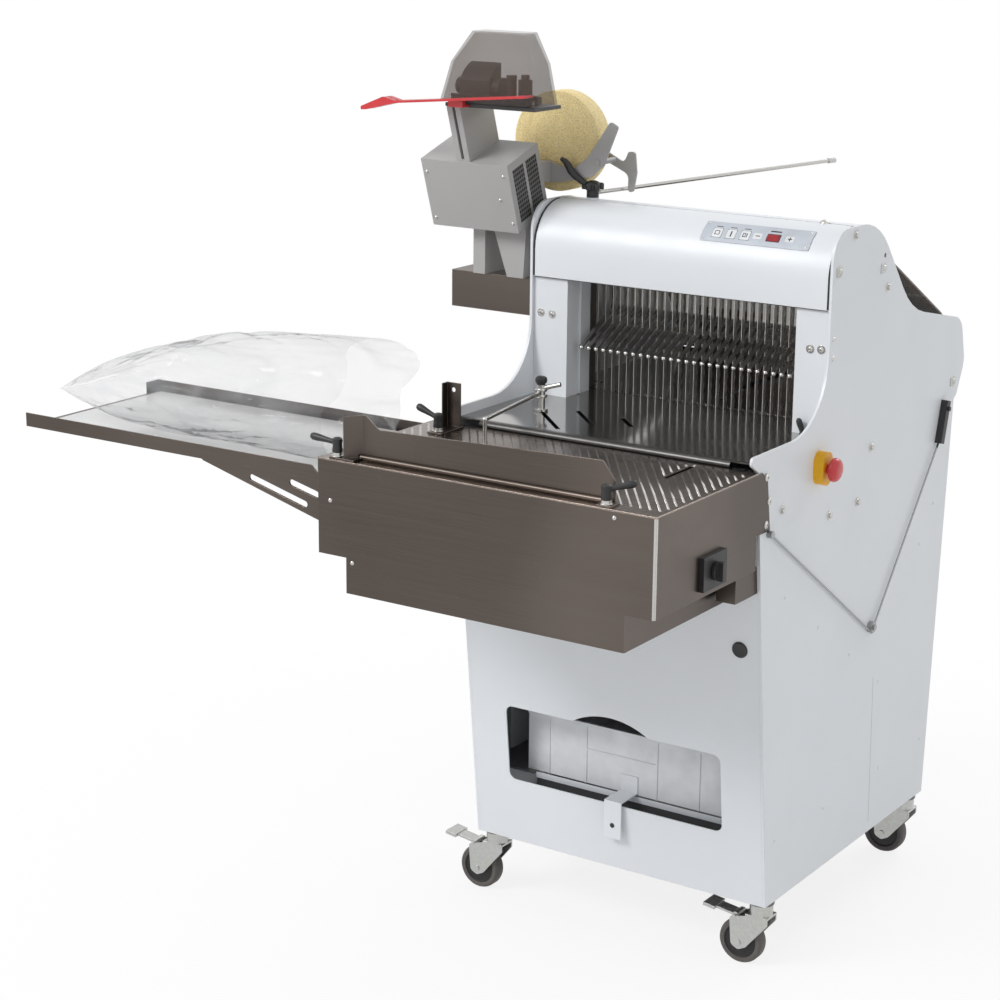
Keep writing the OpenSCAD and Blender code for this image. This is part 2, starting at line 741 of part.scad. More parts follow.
module front_guide() color("silver") {
  y = stud_y + 18;
  plate = rounded([
    [-264, guide_z, 0], [-264, pack_top_z + guide_h - 5, 3], [-255, pack_top_z + guide_h - 5, 4],
    [-230, pack_top_z + guide_h - 25, 10], [182, pack_top_z + guide_h - 13, 6],
    [204, pack_top_z + 36, 6], [204, guide_z, 0]]);
  along_y(y, 2) polygon(plate);
  box(-262, y - 6, guide_z, 202, y + 8, guide_z + 3);
  rod_x(y - 4, guide_z + 4, -262, 202, 4);
  translate([-262.5, y + 0.5, guide_z]) rotate([0, 0, 232]) box(0, -1, 0, 31, 1, guide_h - 6);
  box(-308, stud_y - 9, guide_z, -260, y + 1, guide_z + 3);
  box(188, stud_y - 9, guide_z, 212, y + 1, guide_z + 3);
  rod_z(left_stud_x, stud_y, guide_z, guide_z + 20, 4);
  rod_z(right_stud_x, stud_y, guide_z, guide_z + 20, 4);
}

module guide_lever_left() color("black") guide_lever(left_stud_x, stud_y, guide_z + 3.3, 47, 4, 180);

module guide_lever_right() color("black") guide_lever(right_stud_x, stud_y, guide_z + 3.3, 40, 10, 30);

module bag_post() color("silver") {
  top = pack_top_z + post_h;
  difference() {
    union() {
      box(-281, post_y, guide_z, -253, post_y + 2, top);
      box(-281, post_y - 14, guide_z, -279, post_y + 2, top);
      box(-281, post_y - 56, guide_z, -253, post_y + 10, guide_z + 3);
      rod_z(post_x, post_y - 44, guide_z, guide_z + 20, 4);
    }
    rod_y(post_x, top - 12, post_y - 4, post_y + 6, 4);
  }
}

module post_lever() color("black") guide_lever(post_x, post_y - 44, guide_z + 3.3, 38, 14, 180);

module rod_guide() color("silver") {
  x = -196;
  y = -272;
  z0 = table_z + rest_gap;
  rod_z(x, y, z0, z0 + 4, 12);
  rod_z(x, y, z0, table_z + clamp_h, 7);
  rod_z(x, y, table_z - 12, z0, 3);
  rod_z(x, y, table_z - 12, table_z - sheet_t - rest_gap, 9);
  rod_to([x, y, table_z + 32], [-160, -495, table_z + 32], 3.5);
  translate([-160, -495, table_z + 32]) sphere(4.5, $fn = 24);
  rod_z(-160, -495, pack_top_z + 2, table_z + 32, 3.5);
  rod_to([x, y, table_z + clamp_h - 8], [x + 34, y + 8, table_z + clamp_h + 2], 4);
}

function slot_outline(x0, z0, x1, z1, r) =
  let (a = atan2(z1 - z0, x1 - x0), n = 8) concat(
    [for (i = [0:n]) [x1, z1] + r * [cos(a - 90 + 180 * i / n), sin(a - 90 + 180 * i / n)]],
    [for (i = [0:n]) [x0, z0] + r * [cos(a + 90 + 180 * i / n), sin(a + 90 + 180 * i / n)]]);

module bag_tray() color("rosybrown") {
  x0 = tray_x - tray_len;
  y1 = tray_y + tray_d;
  t = sheet_t;
  box(x0, tray_y, tray_z, tray_x, y1, tray_z + t);
  along_y(tray_y, t) polygon(rounded([
    [x0, tray_z, 0], [tray_x - 6, tray_z, 0], [tray_x - 30, tray_z + lip_h, 10], [x0, tray_z + lip_h, 0]]));
  box(x0, y1 - t, tray_z, tray_x, y1, tray_z + lip_h);
  box(x0, y1 - 34, tray_z, x0 + t, y1, tray_z + lip_h);
  along_y(tray_y + 6, 3) difference() {
    polygon(rounded([
      [tray_x, tray_z + 1, 0], [tray_x - 270, tray_z + 1, 0], [tray_x - 266, tray_z - 4, 4],
      [tray_x - 5, tray_z - 73, 10], [tray_x, tray_z - 73, 0]]));
    polygon(slot_outline(tray_x - 160, tray_z - 18, tray_x - 50, tray_z - 46, 5.5));
    polygon(slot_outline(tray_x - 76, tray_z - 14, tray_x - 26, tray_z - 26, 5.5));
  }
  box(tray_x - 1, tray_y + 7, tray_z - 72, pack_l, tray_y + 150, tray_z + 1);
}

bag_n = 10;
bag_sides = 20;
bag_x0 = tray_x - 18;
bag_len = 630;
bag_z0 = tray_z + sheet_t + 0.3;

function bag_ring(u, t) =
  let (f = 1 - pow(u, 5) * 0.86, wy = 112 - t, wz = bag_h / 2 * f - t, m = bag_z0 + bag_h / 2 * f)
  [for (k = [0:bag_sides - 1]) let (a = 360 * k / bag_sides, c = cos(a), s = sin(a)) [
    bag_x0 - bag_len * u,
    tray_y + 124 + wy * sign(c) * pow(abs(c), 0.7),
    m + wz * sign(s) * pow(abs(s), 0.7)]];

module open_bag() color([0.9, 0.9, 0.9, 0.4]) {
  m = bag_sides;
  outer = [for (i = [0:bag_n]) each bag_ring(i / bag_n, 0)];
  shell = [for (i = [bag_n:-1:0]) each bag_ring(i / bag_n * (1 - bag_t / bag_len), bag_t)];
  rows = 2 * bag_n + 1;
  walls = [for (i = [0:rows - 1], k = [0:m - 1])
    i == bag_n ? [] : [i * m + k, i * m + (k + 1) % m, (i + 1) * m + (k + 1) % m, (i + 1) * m + k]];
  mouth = [for (k = [0:m - 1]) [rows * m + k, rows * m + (k + 1) % m, (k + 1) % m, k]];
  tails = [[for (k = [0:m - 1]) bag_n * m + k], [for (k = [m - 1:-1:0]) (bag_n + 1) * m + k]];
  polyhedron(concat(outer, shell), concat([for (w = walls) if (len(w) > 0) w], mouth, tails));
}

module clip_shelf() color("rosybrown") {
  x0 = -half - 184;
  z1 = crown_z - 139;
  box(x0, -140, z1 - 3, -half, 20, z1);
  box(x0, -140, z1 - 66, -half, -138, z1);
  box(-half - 4, -140, z1 - 66, -half, 20, z1);
}

module clip_housing() color("gray") {
  shelf = crown_z - 139;
  difference() {
    union() {
      on_clip() box(0, 0, 0, clip_w, clip_d, clip_h);
      box(clip_x + 65, -150, shelf, clip_x + 90, -72, clip_z + 40);
      along_y(-150, 78) polygon([
        [clip_x + 137, shelf], [clip_x + 171, shelf], [clip_x + 178, clip_z + 40], [clip_x + 94, clip_z + 40]]);
      on_clip() difference() {
        box(75, 3, clip_h - 5, 103, 97, clip_h + 120);
        box(86, 2, clip_h + 4, 92, 60, clip_h + 121);
      }
    }
    box(clip_x - 50, clip_y - 200, head_z, clip_x + 300, clip_y + 200, head_z + 200);
    on_clip() box(3, 3, 3, clip_w - 3, clip_d - 3, clip_h - 3);
    on_clip() for (y = [14, 56], k = [0:7]) box(clip_w - 4, y, 20 + k * 11, clip_w + 1, y + 32, 24 + k * 11);
  }
}

hinge_y = clip_y - 12;
hinge_z = head_z + 15;
cover_x0 = clip_x + 71;
cover_x1 = clip_x + 269;
cover_y = clip_y - 82;
cover_t = 3;
swing_r = hinge_y - cover_y - cover_t - 5;

module clip_head() color("dimgray") {
  y = cover_y + 36;
  box(cover_x0 + 4, cover_y + 10, head_z, cover_x1 - 12, hinge_y + 22, head_z + 6);
  box(cover_x0 + 4, hinge_y + 20, head_z, cover_x0 + 32, clip_y + 30, head_z + 6);
  intersection() {
    box(cover_x0 + 30, cover_y + 16, head_z + 5, cover_x0 + 90, hinge_y - 18, head_z + 82);
    rod_x(hinge_y, hinge_z, cover_x0 + 29, cover_x0 + 91, swing_r);
  }
  rod_x(y, head_z + 34, cover_x0 + 16, cover_x0 + 31, 14);
  rod_x(y, head_z + 34, cover_x0 + 89, cover_x0 + 106, 17);
  rod_z(cover_x0 + 122, y, head_z + 5, head_z + 56, 9);
  rod_z(cover_x0 + 150, y, head_z + 5, head_z + 50, 12);
  rod_z(cover_x0 + 150, y, head_z + 49, head_z + 58, 7);
  box(cover_x0 + 14, cover_y + 12, head_z + 5, cover_x0 + 170, cover_y + 15, head_z + 22);
  for (x = [cover_x0 + 40, cover_x1 - 48]) {
    box(x, hinge_y - 5, head_z + 1, x + 8, hinge_y + 5, hinge_z);
    rod_x(hinge_y, hinge_z, x, x + 8, 5);
  }
  rod_x(hinge_y, hinge_z, cover_x0 + 40, cover_x1 - 40, 3);
}

module cover_slab(z, x0, x1, y0, y1, g)
  translate([cover_x0 + x0 + g, y0 + g, z - 0.5])
    cube([cover_x1 - cover_x0 - x0 - x1 - 2 * g, y1 - y0 - 2 * g, 1]);

module cover_shape(g, low) {
  hull() {
    cover_slab(head_z + 10 - low, 0, 0, cover_y, hinge_y - 8, g);
    cover_slab(head_z + 76, 20, 14, cover_y + 4, hinge_y - 10, g);
  }
  hull() {
    cover_slab(head_z + 76, 20, 14, cover_y + 4, hinge_y - 10, g);
    cover_slab(head_z + 128 - g, 58, 36, cover_y + 12, hinge_y - 18, g);
  }
}

module clip_cover() color([0.4, 0.3, 0.25, 0.5]) {
  difference() {
    union() {
      cover_shape(0, 0);
      for (x = [cover_x0 + 52, cover_x1 - 72]) {
        rod_x(hinge_y, hinge_z, x, x + 20, 6);
        box(x, hinge_y - 12, hinge_z - 3, x + 20, hinge_y - 2, hinge_z + 5);
      }
    }
    cover_shape(cover_t, 2);
    rod_x(hinge_y, hinge_z, cover_x0, cover_x1, 3 + run_gap);
  }
}

module neck_guide() color("red") {
  y = cover_y - 26;
  tip = rounded([
    [-60, -9, 2], [-48, -9, 6], [14, 0, 2], [14, 4, 2], [-10, 12, 10], [-60, -3, 3]]);
  translate([clip_x - 20, 0, head_z + 1]) rotate([0, -neck_rise, 0]) {
    box(-10, y, 0, 282, y + 10, 4);
    box(-10, y + 14, 0, 282, y + 24, 4);
    box(264, y + 1, 0.5, 281, y + 23, 3.5);
    along_y(y, 10) polygon(tip);
    along_y(y + 14, 10) polygon(tip);
  }
  box(clip_x + 95, y + 15, head_z + 1, clip_x + 125, y + 23, head_z + 12);
  box(clip_x + 95, y + 15, head_z + 1, clip_x + 125, cover_y + 10, head_z + 5);
}

module reel_arms() color("gray") {
  x = reel_x;
  z = reel_z;
  along_y(reel_y - 10, 4) polygon(rounded([
    [x - 34, z - 70, 3], [x - 34, z - 34, 5], [x - 16, z - 34, 6], [x + 40, z - 47, 20],
    [x + 72, z - 22, 14], [x + 116, z + 42, 5], [x + 132, z + 34, 5], [x + 104, z - 34, 10],
    [x + 80, z - 56, 14], [x + 36, z - 66, 14], [x + 4, z - 71, 6]]));
  rod_y(x + 92, z - 30, reel_y - 13, reel_y + reel_w + 7, 5);
  rod_y(x, z, reel_y + 8, reel_y + reel_w + 6, 10);
  rod_y(x, z, reel_y + reel_w + 1, reel_y + reel_w + 6, 18);
  along_y(reel_y + reel_w + 5, 4) polygon(rounded([
    [x - 16, z - 10, 8], [x - 6, z + 18, 10], [x + 40, z + 2, 20], [x + 112, z - 34, 8], [x + 121, z - 14, 5],
    [x + 134, z - 14, 5], [x + 138, z - 50, 16], [x + 132, z - 84, 5], [x + 121, z - 84, 5],
    [x + 122, z - 54, 14], [x + 36, z - 16, 20]]));
  difference() {
    box(x - 34, clip_y + 40, z - 70, x - 4, reel_y - 6, z - 34);
    on_clip() box(-1, -1, -1, clip_w + 1, clip_d, clip_h + 1);
  }
}

module tape_reel() color("wheat") {
  difference() {
    rod_y(reel_x, reel_z, reel_y, reel_y + reel_w, reel_r);
    rod_y(reel_x, reel_z, reel_y + reel_w - 4, reel_y + reel_w + 1, 36);
    rod_y(reel_x, reel_z, reel_y + 6, reel_y + reel_w + 1, 10 + run_gap);
  }
}

module stay_rod() color("dimgray") {
  x = stay_x;
  y = stay_y;
  z = crown_z + 2 + rest_gap;
  a = 61.2;
  lift = 3.7;
  p = [x, y, z + 7];
  q = p + stay_len * [cos(a) * cos(lift), sin(a) * cos(lift), sin(lift)];
  rod_z(x, y, crown_z - 18, z + 22, 5);
  rod_z(x, y, z, z + 12, 9);
  rod_z(x, y, z + 14, z + 24, 13);
  for (k = [0:5]) rod_z(x + 13.5 * cos(60 * k + 30), y + 13.5 * sin(60 * k + 30), z + 14, z + 24, 5);
  rod_to(p, q, 3.5);
  rod_to(q - (q - p) * 0.03, q, 5);
}

module caster_fork(sx, sy) color("silver") {
  x = sx * caster_x;
  y = sy * caster_y;
  z = base_z - 26;
  g = wheel_w / 2 + 2;
  front = sy < 0;
  ax = x - trail;
  leg = rounded([
    [x - 20, z - 4, 0], [x + 20, z - 4, 0], [x + 20, z - 14, 6], [ax + 14, wheel_r - 6, 12],
    [ax, wheel_r - 13, 8], [ax - 14, wheel_r - 6, 10], [ax - 18, wheel_r + 44, 6]]);
  difference() {
    union() {
      rod_z(x, y, z, base_z - 6.4, 20);
      box(x - 21, y - g - 3, z - 4, x + 20, y + g + 3, z);
      along_y(y - g - 3, 3) polygon(leg);
      along_y(y + g, 3) polygon(leg);
    }
    rod_z(x, y, z - 5, base_z, 6 + run_gap);
  }
  rod_y(ax, wheel_r, y - g - 5, y + g + 5, 5);
  if (front) rod_y(ax - 9, wheel_r + 46, y - g - 4, y + g + 4, 3);
}

module caster_wheel(sx, sy) color("dimgray") {
  x = sx * caster_x - trail;
  y = sy * caster_y;
  difference() {
    rod_y(x, wheel_r, y - wheel_w / 2, y + wheel_w / 2, wheel_r);
    for (s = [-1, 1]) rod_y(x, wheel_r, y + s * (wheel_w / 2 - 1) - 2, y + s * (wheel_w / 2 - 1) + 2, wheel_r - 12);
    rod_y(x, wheel_r, y - wheel_w, y + wheel_w, 5 + run_gap);
  }
  difference() {
    rod_y(x, wheel_r, y - wheel_w / 2, y + wheel_w / 2, 12);
    rod_y(x, wheel_r, y - wheel_w, y + wheel_w, 5 + run_gap);
  }
}

module brake_pedal(sx) color("dimgray") {
  x = sx * caster_x - trail - 9;
  y = -caster_y;
  z = wheel_r + 46;
  w = wheel_w / 2;
  difference() {
    union() {
      rod_y(x, z, y - w, y + w, 6);
      translate([x, y, z]) rotate([0, 8, 0]) box(-56, 1 - w, -2, -4.2, w - 1, 2);
      translate([x, y, z]) rotate([0, 8, 0]) box(-60, -w - 6, -3, -38, w + 6, 3);
    }
    rod_y(x, z, y - w - 10, y + w + 10, 3 + run_gap);
  }
}

base_frame();
left_side_panel();
right_side_panel();
front_panel();
rear_panel();
fascia_posts();
top_cover();
outfeed_table();
infeed_table();
frame_guides();
bearing_blocks();
drive_motor();
drive_belt();
estop_base();
side_cable();
packing_box();
slide_plate();
blower_housing();
switch_plate();
bag_tray();
clip_shelf();
clip_housing();
clip_head();
neck_guide();
reel_arms();
open_bag();
hood();
control_panel();
blade_frame_front();
blades_front();
blade_frame_rear();
blades_rear();
eccentric_shaft();
motor_pulley();
hold_down_comb();
loaf_pusher();
rear_cover();
crumb_bin();
estop_button();
switch_knob();
blower_fan();
front_guide();
guide_lever_left();
guide_lever_right();
bag_post();
post_lever();
rod_guide();
clip_cover();
tape_reel();
stay_rod();
caster_fork(-1, -1);  // caster_fork_fl
caster_fork(1, -1);  // caster_fork_fr
caster_fork(-1, 1);  // caster_fork_rl
caster_fork(1, 1);  // caster_fork_rr
caster_wheel(-1, -1);  // caster_wheel_fl
caster_wheel(1, -1);  // caster_wheel_fr
caster_wheel(-1, 1);  // caster_wheel_rl
caster_wheel(1, 1);  // caster_wheel_rr
brake_pedal(-1);  // brake_pedal_l
brake_pedal(1);  // brake_pedal_r
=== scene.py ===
"""Bread slicer with a bagging bench: its finishes and small parts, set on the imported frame."""

import math

import bmesh
import bpy
from mathutils import Matrix, Vector, noise


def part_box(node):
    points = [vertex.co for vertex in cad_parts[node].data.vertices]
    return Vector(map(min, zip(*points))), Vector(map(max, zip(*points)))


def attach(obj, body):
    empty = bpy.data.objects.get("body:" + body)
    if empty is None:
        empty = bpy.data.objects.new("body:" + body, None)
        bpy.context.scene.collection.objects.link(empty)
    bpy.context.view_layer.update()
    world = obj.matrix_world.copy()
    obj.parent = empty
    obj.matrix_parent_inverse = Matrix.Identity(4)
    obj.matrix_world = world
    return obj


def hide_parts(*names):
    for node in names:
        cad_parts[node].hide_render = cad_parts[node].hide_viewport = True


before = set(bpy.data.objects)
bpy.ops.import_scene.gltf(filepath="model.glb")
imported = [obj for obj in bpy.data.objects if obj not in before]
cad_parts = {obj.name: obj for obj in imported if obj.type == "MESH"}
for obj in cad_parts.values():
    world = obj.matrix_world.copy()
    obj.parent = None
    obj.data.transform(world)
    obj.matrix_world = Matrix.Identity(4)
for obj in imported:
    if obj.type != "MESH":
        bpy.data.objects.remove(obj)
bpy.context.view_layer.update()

bl_info = {
    "name": "Bread Slicer Finishes",
    "version": (1, 0, 0),
    "blender": (4, 5, 0),
    "location": "View3D > Sidebar > Slicer",
    "description": "Gives the packed frame of a bread slicer its finishes, bag, keypad and fasteners",
    "category": "Object",
}

MM = 0.001
UP, FRONT, BACK, RIGHT = (0, 0, 1), (0, -1, 0), (0, 1, 0), (1, 0, 0)

# Places on the frame, in millimetres
PANEL_X = 290.0
FASCIA_Y = -160.0
HOOD_ARC_Y, HOOD_ARC_Z, HOOD_ARC_R = -85.0, 1157.0, 80.0
BOX_FRONT_Y = -717.0
FLANGE_X = 292.0
PLATE_Z = 890.0
TRAY_FLOOR_Z = 844.0
CLOSER_LEAN = math.radians(18.3)


def colour(name, text, value):
    return bpy.props.FloatVectorProperty(
        name=name, description=text, subtype="COLOR", size=3, min=0, max=1, default=value)


def length(name, text, value):
    return bpy.props.FloatProperty(
        name=name, description=text, unit="LENGTH", min=0, default=value, precision=4)


class SlicerColours(bpy.types.PropertyGroup):
    """Colours of the slicer's finishes."""
    white_paint: colour("White paint", "Powder coat of the cabinet", (0.81, 0.84, 0.875))
    grey_paint: colour("Grey paint", "Coat of the closer and its reel arms", (0.43, 0.425, 0.42))
    dark_paint: colour("Dark paint", "Coat of the inner frame and bearings", (0.055, 0.055, 0.058))
    stainless: colour("Stainless", "Brushed sheet of the bench and the tray", (0.116, 0.098, 0.086))
    table_steel: colour("Table steel", "Polished plate of the tables", (0.40, 0.39, 0.38))
    bright_steel: colour("Bright steel", "Blades, rods and bolts", (0.56, 0.55, 0.53))
    zinc: colour("Zinc", "Plated caster forks", (0.50, 0.51, 0.50))
    red: colour("Red", "Neck guide and stop button", (0.60, 0.022, 0.030))
    yellow: colour("Yellow", "Stop button's collar", (0.90, 0.47, 0.004))
    paper: colour("Tape", "Wound closing tape", (0.88, 0.72, 0.37))
    smoke: colour("Smoked cover", "Tint of the clear covers", (0.105, 0.070, 0.050))
    film: colour("Film", "Clear film of the open bag", (0.47, 0.485, 0.495))
    spare_film: colour("Spare film", "Milky film of the stacked bags", (0.71, 0.715, 0.715))
    bin_plastic: colour("Bin", "Crumb bin's plastic", (0.79, 0.81, 0.84))
    tyre: colour("Tyre", "Caster tread", (0.105, 0.096, 0.090))
    keypad: colour("Keypad", "Keypad's face", (0.55, 0.59, 0.65))


class SlicerSizes(bpy.types.PropertyGroup):
    """Sizes of the small parts."""
    bolt_head: length("Bolt head", "Radius of the panel bolts' heads", 0.0062)
    rivet_head: length("Rivet head", "Radius of the panel rivets' heads", 0.0036)
    rib_pitch: length("Rib pitch", "Distance between the slide plate's ribs", 0.0135)
    rib_height: length("Rib height", "How far a rib stands above the slide plate", 0.0003)
    crease: length("Crease", "Depth of the creases in the bag", 0.009)
    tread_round: length("Tread round", "Rounding of the wheels' tread", 0.006)


class SlicerStage(bpy.types.PropertyGroup):
    """Camera and light."""
    camera: bpy.props.FloatVectorProperty(
        name="Camera", description="Where the camera stands", subtype="TRANSLATION", unit="LENGTH",
        default=(1.9218, -3.56935, 1.79968))
    azimuth: bpy.props.FloatProperty(
        name="Azimuth", description="Turn of the view", subtype="ANGLE", default=math.radians(33.711))
    elevation: bpy.props.FloatProperty(
        name="Elevation", description="Fall of the view", subtype="ANGLE", default=math.radians(15.113))
    roll: bpy.props.FloatProperty(
        name="Roll", description="Roll of the view", subtype="ANGLE", default=math.radians(-0.511))
    lens: bpy.props.FloatProperty(
        name="Lens", description="Focal length on a 36 mm frame", subtype="DISTANCE_CAMERA", default=84.63)
    floor: colour("Floor", "Floor's colour", (0.90, 0.90, 0.90))


class Wire:
    """A node's output that takes part in arithmetic; each operator adds a Math node."""

    def __init__(self, finish, socket):
        self.finish, self.socket = finish, socket

    def math(self, operation, first, second=0.0):
        return self.finish.node("ShaderNodeMath", {"operation": operation}, {0: first, 1: second})

    def __add__(self, other):
        return self.math("ADD", self, other)

    def __radd__(self, other):
        return self.math("ADD", other, self)

    def __sub__(self, other):
        return self.math("SUBTRACT", self, other)

    def __rsub__(self, other):
        return self.math("SUBTRACT", other, self)

    def __mul__(self, other):
        return self.math("MULTIPLY", self, other)

    def __rmul__(self, other):
        return self.math("MULTIPLY", other, self)

    def __pow__(self, other):
        return self.math("POWER", self, other)

    def __gt__(self, other):
        return self.math("GREATER_THAN", self, other)

    def __abs__(self):
        return self.math("ABSOLUTE", self)

    def clip(self, low, high):
        """0 at low and 1 at high, with a straight ramp between."""
        return self.finish.node("ShaderNodeMapRange", {"clamp": True}, {
            0: self, 1: low, 2: high, 3: 0.0, 4: 1.0})


class Finish:
    """One material: its shader, its coordinates, and the method that adds any other node."""

    def __init__(self, name, base, roughness=0.5, metallic=0.0, constants=None):
        self.name = name
        self.material = bpy.data.materials.new(name)
        self.material.use_nodes = True
        self.tree = self.material.node_tree
        self.tree.nodes.clear()
        self.shader = self.tree.nodes.new("ShaderNodeBsdfPrincipled")
        self.output = self.tree.nodes.new("ShaderNodeOutputMaterial")
        self.tree.links.new(self.shader.outputs[0], self.output.inputs["Surface"])
        self.put({"Base Color": base, "Roughness": roughness, "Metallic": metallic, **(constants or {})})

    def feed(self, socket, value):
        if isinstance(value, Wire):
            self.tree.links.new(value.socket, socket)
        elif socket.type == "RGBA":
            socket.default_value = (*value[:3], 1.0)
        else:
            socket.default_value = value

    def put(self, sockets):
        for key, value in sockets.items():
            self.feed(self.shader.inputs[key], value)

    def node(self, kind, settings=None, sockets=None, out=0):
        """Adds one node: its settings first, then its sockets' values and links."""
        made = self.tree.nodes.new(kind)
        for key, value in (settings or {}).items():
            setattr(made, key, value)
        for key, value in (sockets or {}).items():
            self.feed(made.inputs[key], value)
        return Wire(self, made.outputs[out])

    def place(self, stretch=(1, 1, 1), turn=(0, 0, 0), shift=(0, 0, 0)):
        """Object coordinates in metres, stretched, turned and shifted."""
        spot = self.node("ShaderNodeTexCoord", out="Object")
        return self.node("ShaderNodeMapping", {}, {
            "Vector": spot, "Location": shift, "Rotation": turn, "Scale": stretch})

    def axis(self, letter):
        """One object coordinate in metres."""
        spot = self.node("ShaderNodeTexCoord", out="Object")
        return self.node("ShaderNodeSeparateXYZ", {}, {0: spot}, out=letter)

    def facing(self, letter):
        """How squarely the surface faces one axis."""
        way = self.node("ShaderNodeTexCoord", out="Normal")
        return abs(self.node("ShaderNodeSeparateXYZ", {}, {0: way}, out=letter))

    def noise(self, scale, detail=3.0, stretch=(1, 1, 1), turn=(0, 0, 0), rough=0.55):
        return self.node("ShaderNodeTexNoise", {}, {
            "Vector": self.place(stretch, turn), "Scale": scale, "Detail": detail, "Roughness": rough})

    def cells(self, scale, stretch=(1, 1, 1), feature="F1"):
        return self.node("ShaderNodeTexVoronoi", {"feature": feature}, {
            "Vector": self.place(stretch), "Scale": scale})

    def mix(self, factor, first, second):
        return self.node("ShaderNodeMix", {"data_type": "RGBA"}, {0: factor, 6: first, 7: second}, out=2)

    def rim(self, radius):
        """1 along the edges within the radius, 0 on flat faces."""
        soft = self.node("ShaderNodeBevel", {"samples": 4}, {"Radius": radius})
        flat = self.node("ShaderNodeNewGeometry", out="Normal")
        same = self.node(
            "ShaderNodeVectorMath", {"operation": "DOT_PRODUCT"}, {0: soft, 1: flat}, out="Value")
        return (1 - same).clip(0.01, 0.25)

    def bump(self, height, depth, strength=1.0, soft=0.0):
        """Height of 0 to 1 as a bump of that depth in metres, over edges rounded by soft."""
        sockets = {"Height": height, "Distance": depth, "Strength": strength}
        if soft:
            sockets["Normal"] = self.node("ShaderNodeBevel", {"samples": 4}, {"Radius": soft})
        self.put({"Normal": self.node("ShaderNodeBump", {}, sockets)})
        return self


def tone(base, gain):
    return tuple(min(1.0, c * gain) for c in base[:3])


def blended(first, second, share):
    return tuple(a + (b - a) * share for a, b in zip(first[:3], second[:3]))


def painted(name, base, roughness=0.34, peel=0.00006, worn=0.30, soft=0.0009):
    """Powder coat: orange peel, faint clouding and edges that have lost a little paint."""
    f = Finish(name, base, constants={"Specular IOR Level": 0.5})
    cloud = f.noise(5.0, 4.0)
    smear = f.noise(14.0, 5.0, stretch=(1, 1, 0.35))
    shade = f.mix(cloud.clip(0.35, 0.75), base, tone(base, 0.965))
    edge = f.rim(0.0016) * f.noise(120.0, 3.0).clip(0.40, 0.62)
    f.put({
        "Base Color": f.mix(edge * worn, shade, blended(tone(base, 0.5), (0.3, 0.3, 0.3), 0.5)),
        "Roughness": roughness + smear.clip(0.35, 0.8) * 0.12,
    })
    return f.bump(f.noise(700.0, 2.0), peel, 0.5, soft)


def brushed(name, base, roughness=0.34, grain=0.10, scuff=0.10, soft=0.0012):
    """Brushed sheet: fine lines along the long way of each face, clouding, painted reflections in broad
    bright and dark sweeps, and a painted highlight along the edges.
    """
    f = Finish(name, base, metallic=1.0)
    side = f.facing("X") > 0.5
    along = f.noise(1.0, 4.0, stretch=(6, 900, 900))
    across = f.noise(1.0, 4.0, stretch=(900, 6, 900))
    line = along + (across - along) * side
    broad = f.noise(1.0, 3.0, stretch=(2.5, 30, 30))
    cloud = f.noise(4.5, 4.0)
    sweep = f.noise(2.1, 1.0, turn=(0, 0.5, 0.3))
    shade = f.mix(cloud.clip(0.3, 0.75), tone(base, 0.90), blended(tone(base, 1.12), base, 0.3))
    # Painted reflection: broad sweeps darken and brighten the sheet's colour.
    shade = f.mix((1 - sweep).clip(0.40, 0.66) * 0.7, shade, tone(base, 0.60))
    shade = f.mix(sweep.clip(0.48, 0.72) * 0.7, shade, tone(base, 1.55))
    shade = f.mix(line.clip(0.25, 0.8) * 0.45, shade, tone(base, 1.35))
    shade = f.mix(broad.clip(0.4, 0.7) * 0.25, shade, (base[0] * 0.95, base[1] * 0.86, base[2] * 0.86))
    scratch = f.cells(26.0, stretch=(0.4, 7, 7), feature="DISTANCE_TO_EDGE").clip(0.012, 0.0)
    shade = f.mix(scratch * scuff, shade, tone(base, 2.2))
    # Painted highlight: the colour brightens along the edges within the rim.
    f.put({
        "Base Color": f.mix(f.rim(0.0014) * 0.55, shade, tone(base, 2.6)),
        "Roughness": roughness + (line - 0.5) * grain + cloud.clip(0.4, 0.8) * 0.06,
    })
    return f.bump(line, 0.00004, 0.35, soft)


def polished(name, base, roughness=0.16, soft=0.0006, dull_before=-9.0):
    """Polished steel with hairlines and finger haze, dull and dark before one Y in metres."""
    f = Finish(name, base, metallic=1.0)
    dull = (0 - f.axis("Y")).clip(-dull_before - 0.004, -dull_before + 0.004)
    haze = f.noise(9.0, 5.0)
    hair = f.noise(1.0, 3.0, stretch=(700, 30, 700))
    shade = f.mix(haze.clip(0.3, 0.8), base, tone(base, 0.86))
    shade = f.mix(hair.clip(0.45, 0.8) * 0.3, shade, tone(base, 1.25))
    f.put({
        "Base Color": f.mix(dull, shade, tone(base, 0.22)),
        "Roughness": roughness + haze.clip(0.35, 0.8) * 0.12 + (hair - 0.5) * 0.06 + dull * 0.24,
    })
    return f.bump(hair, 0.00003, 0.25, soft)


def plated(name, base):
    """Zinc plate: spangle with a faint warm and cool tint."""
    f = Finish(name, base, metallic=1.0)
    grain = f.cells(160.0)
    tint = f.noise(30.0, 3.0)
    shade = f.mix(grain.clip(0.1, 0.8), tone(base, 0.93), tone(base, 1.05))
    shade = f.mix(tint.clip(0.4, 0.7) * 0.35, shade, (base[0] * 1.05, base[1] * 0.98, base[2] * 0.82))
    f.put({"Base Color": shade, "Roughness": 0.30 + tint.clip(0.3, 0.8) * 0.2})
    return f.bump(f.noise(420.0, 2.0), 0.00005, 0.4, 0.0007)


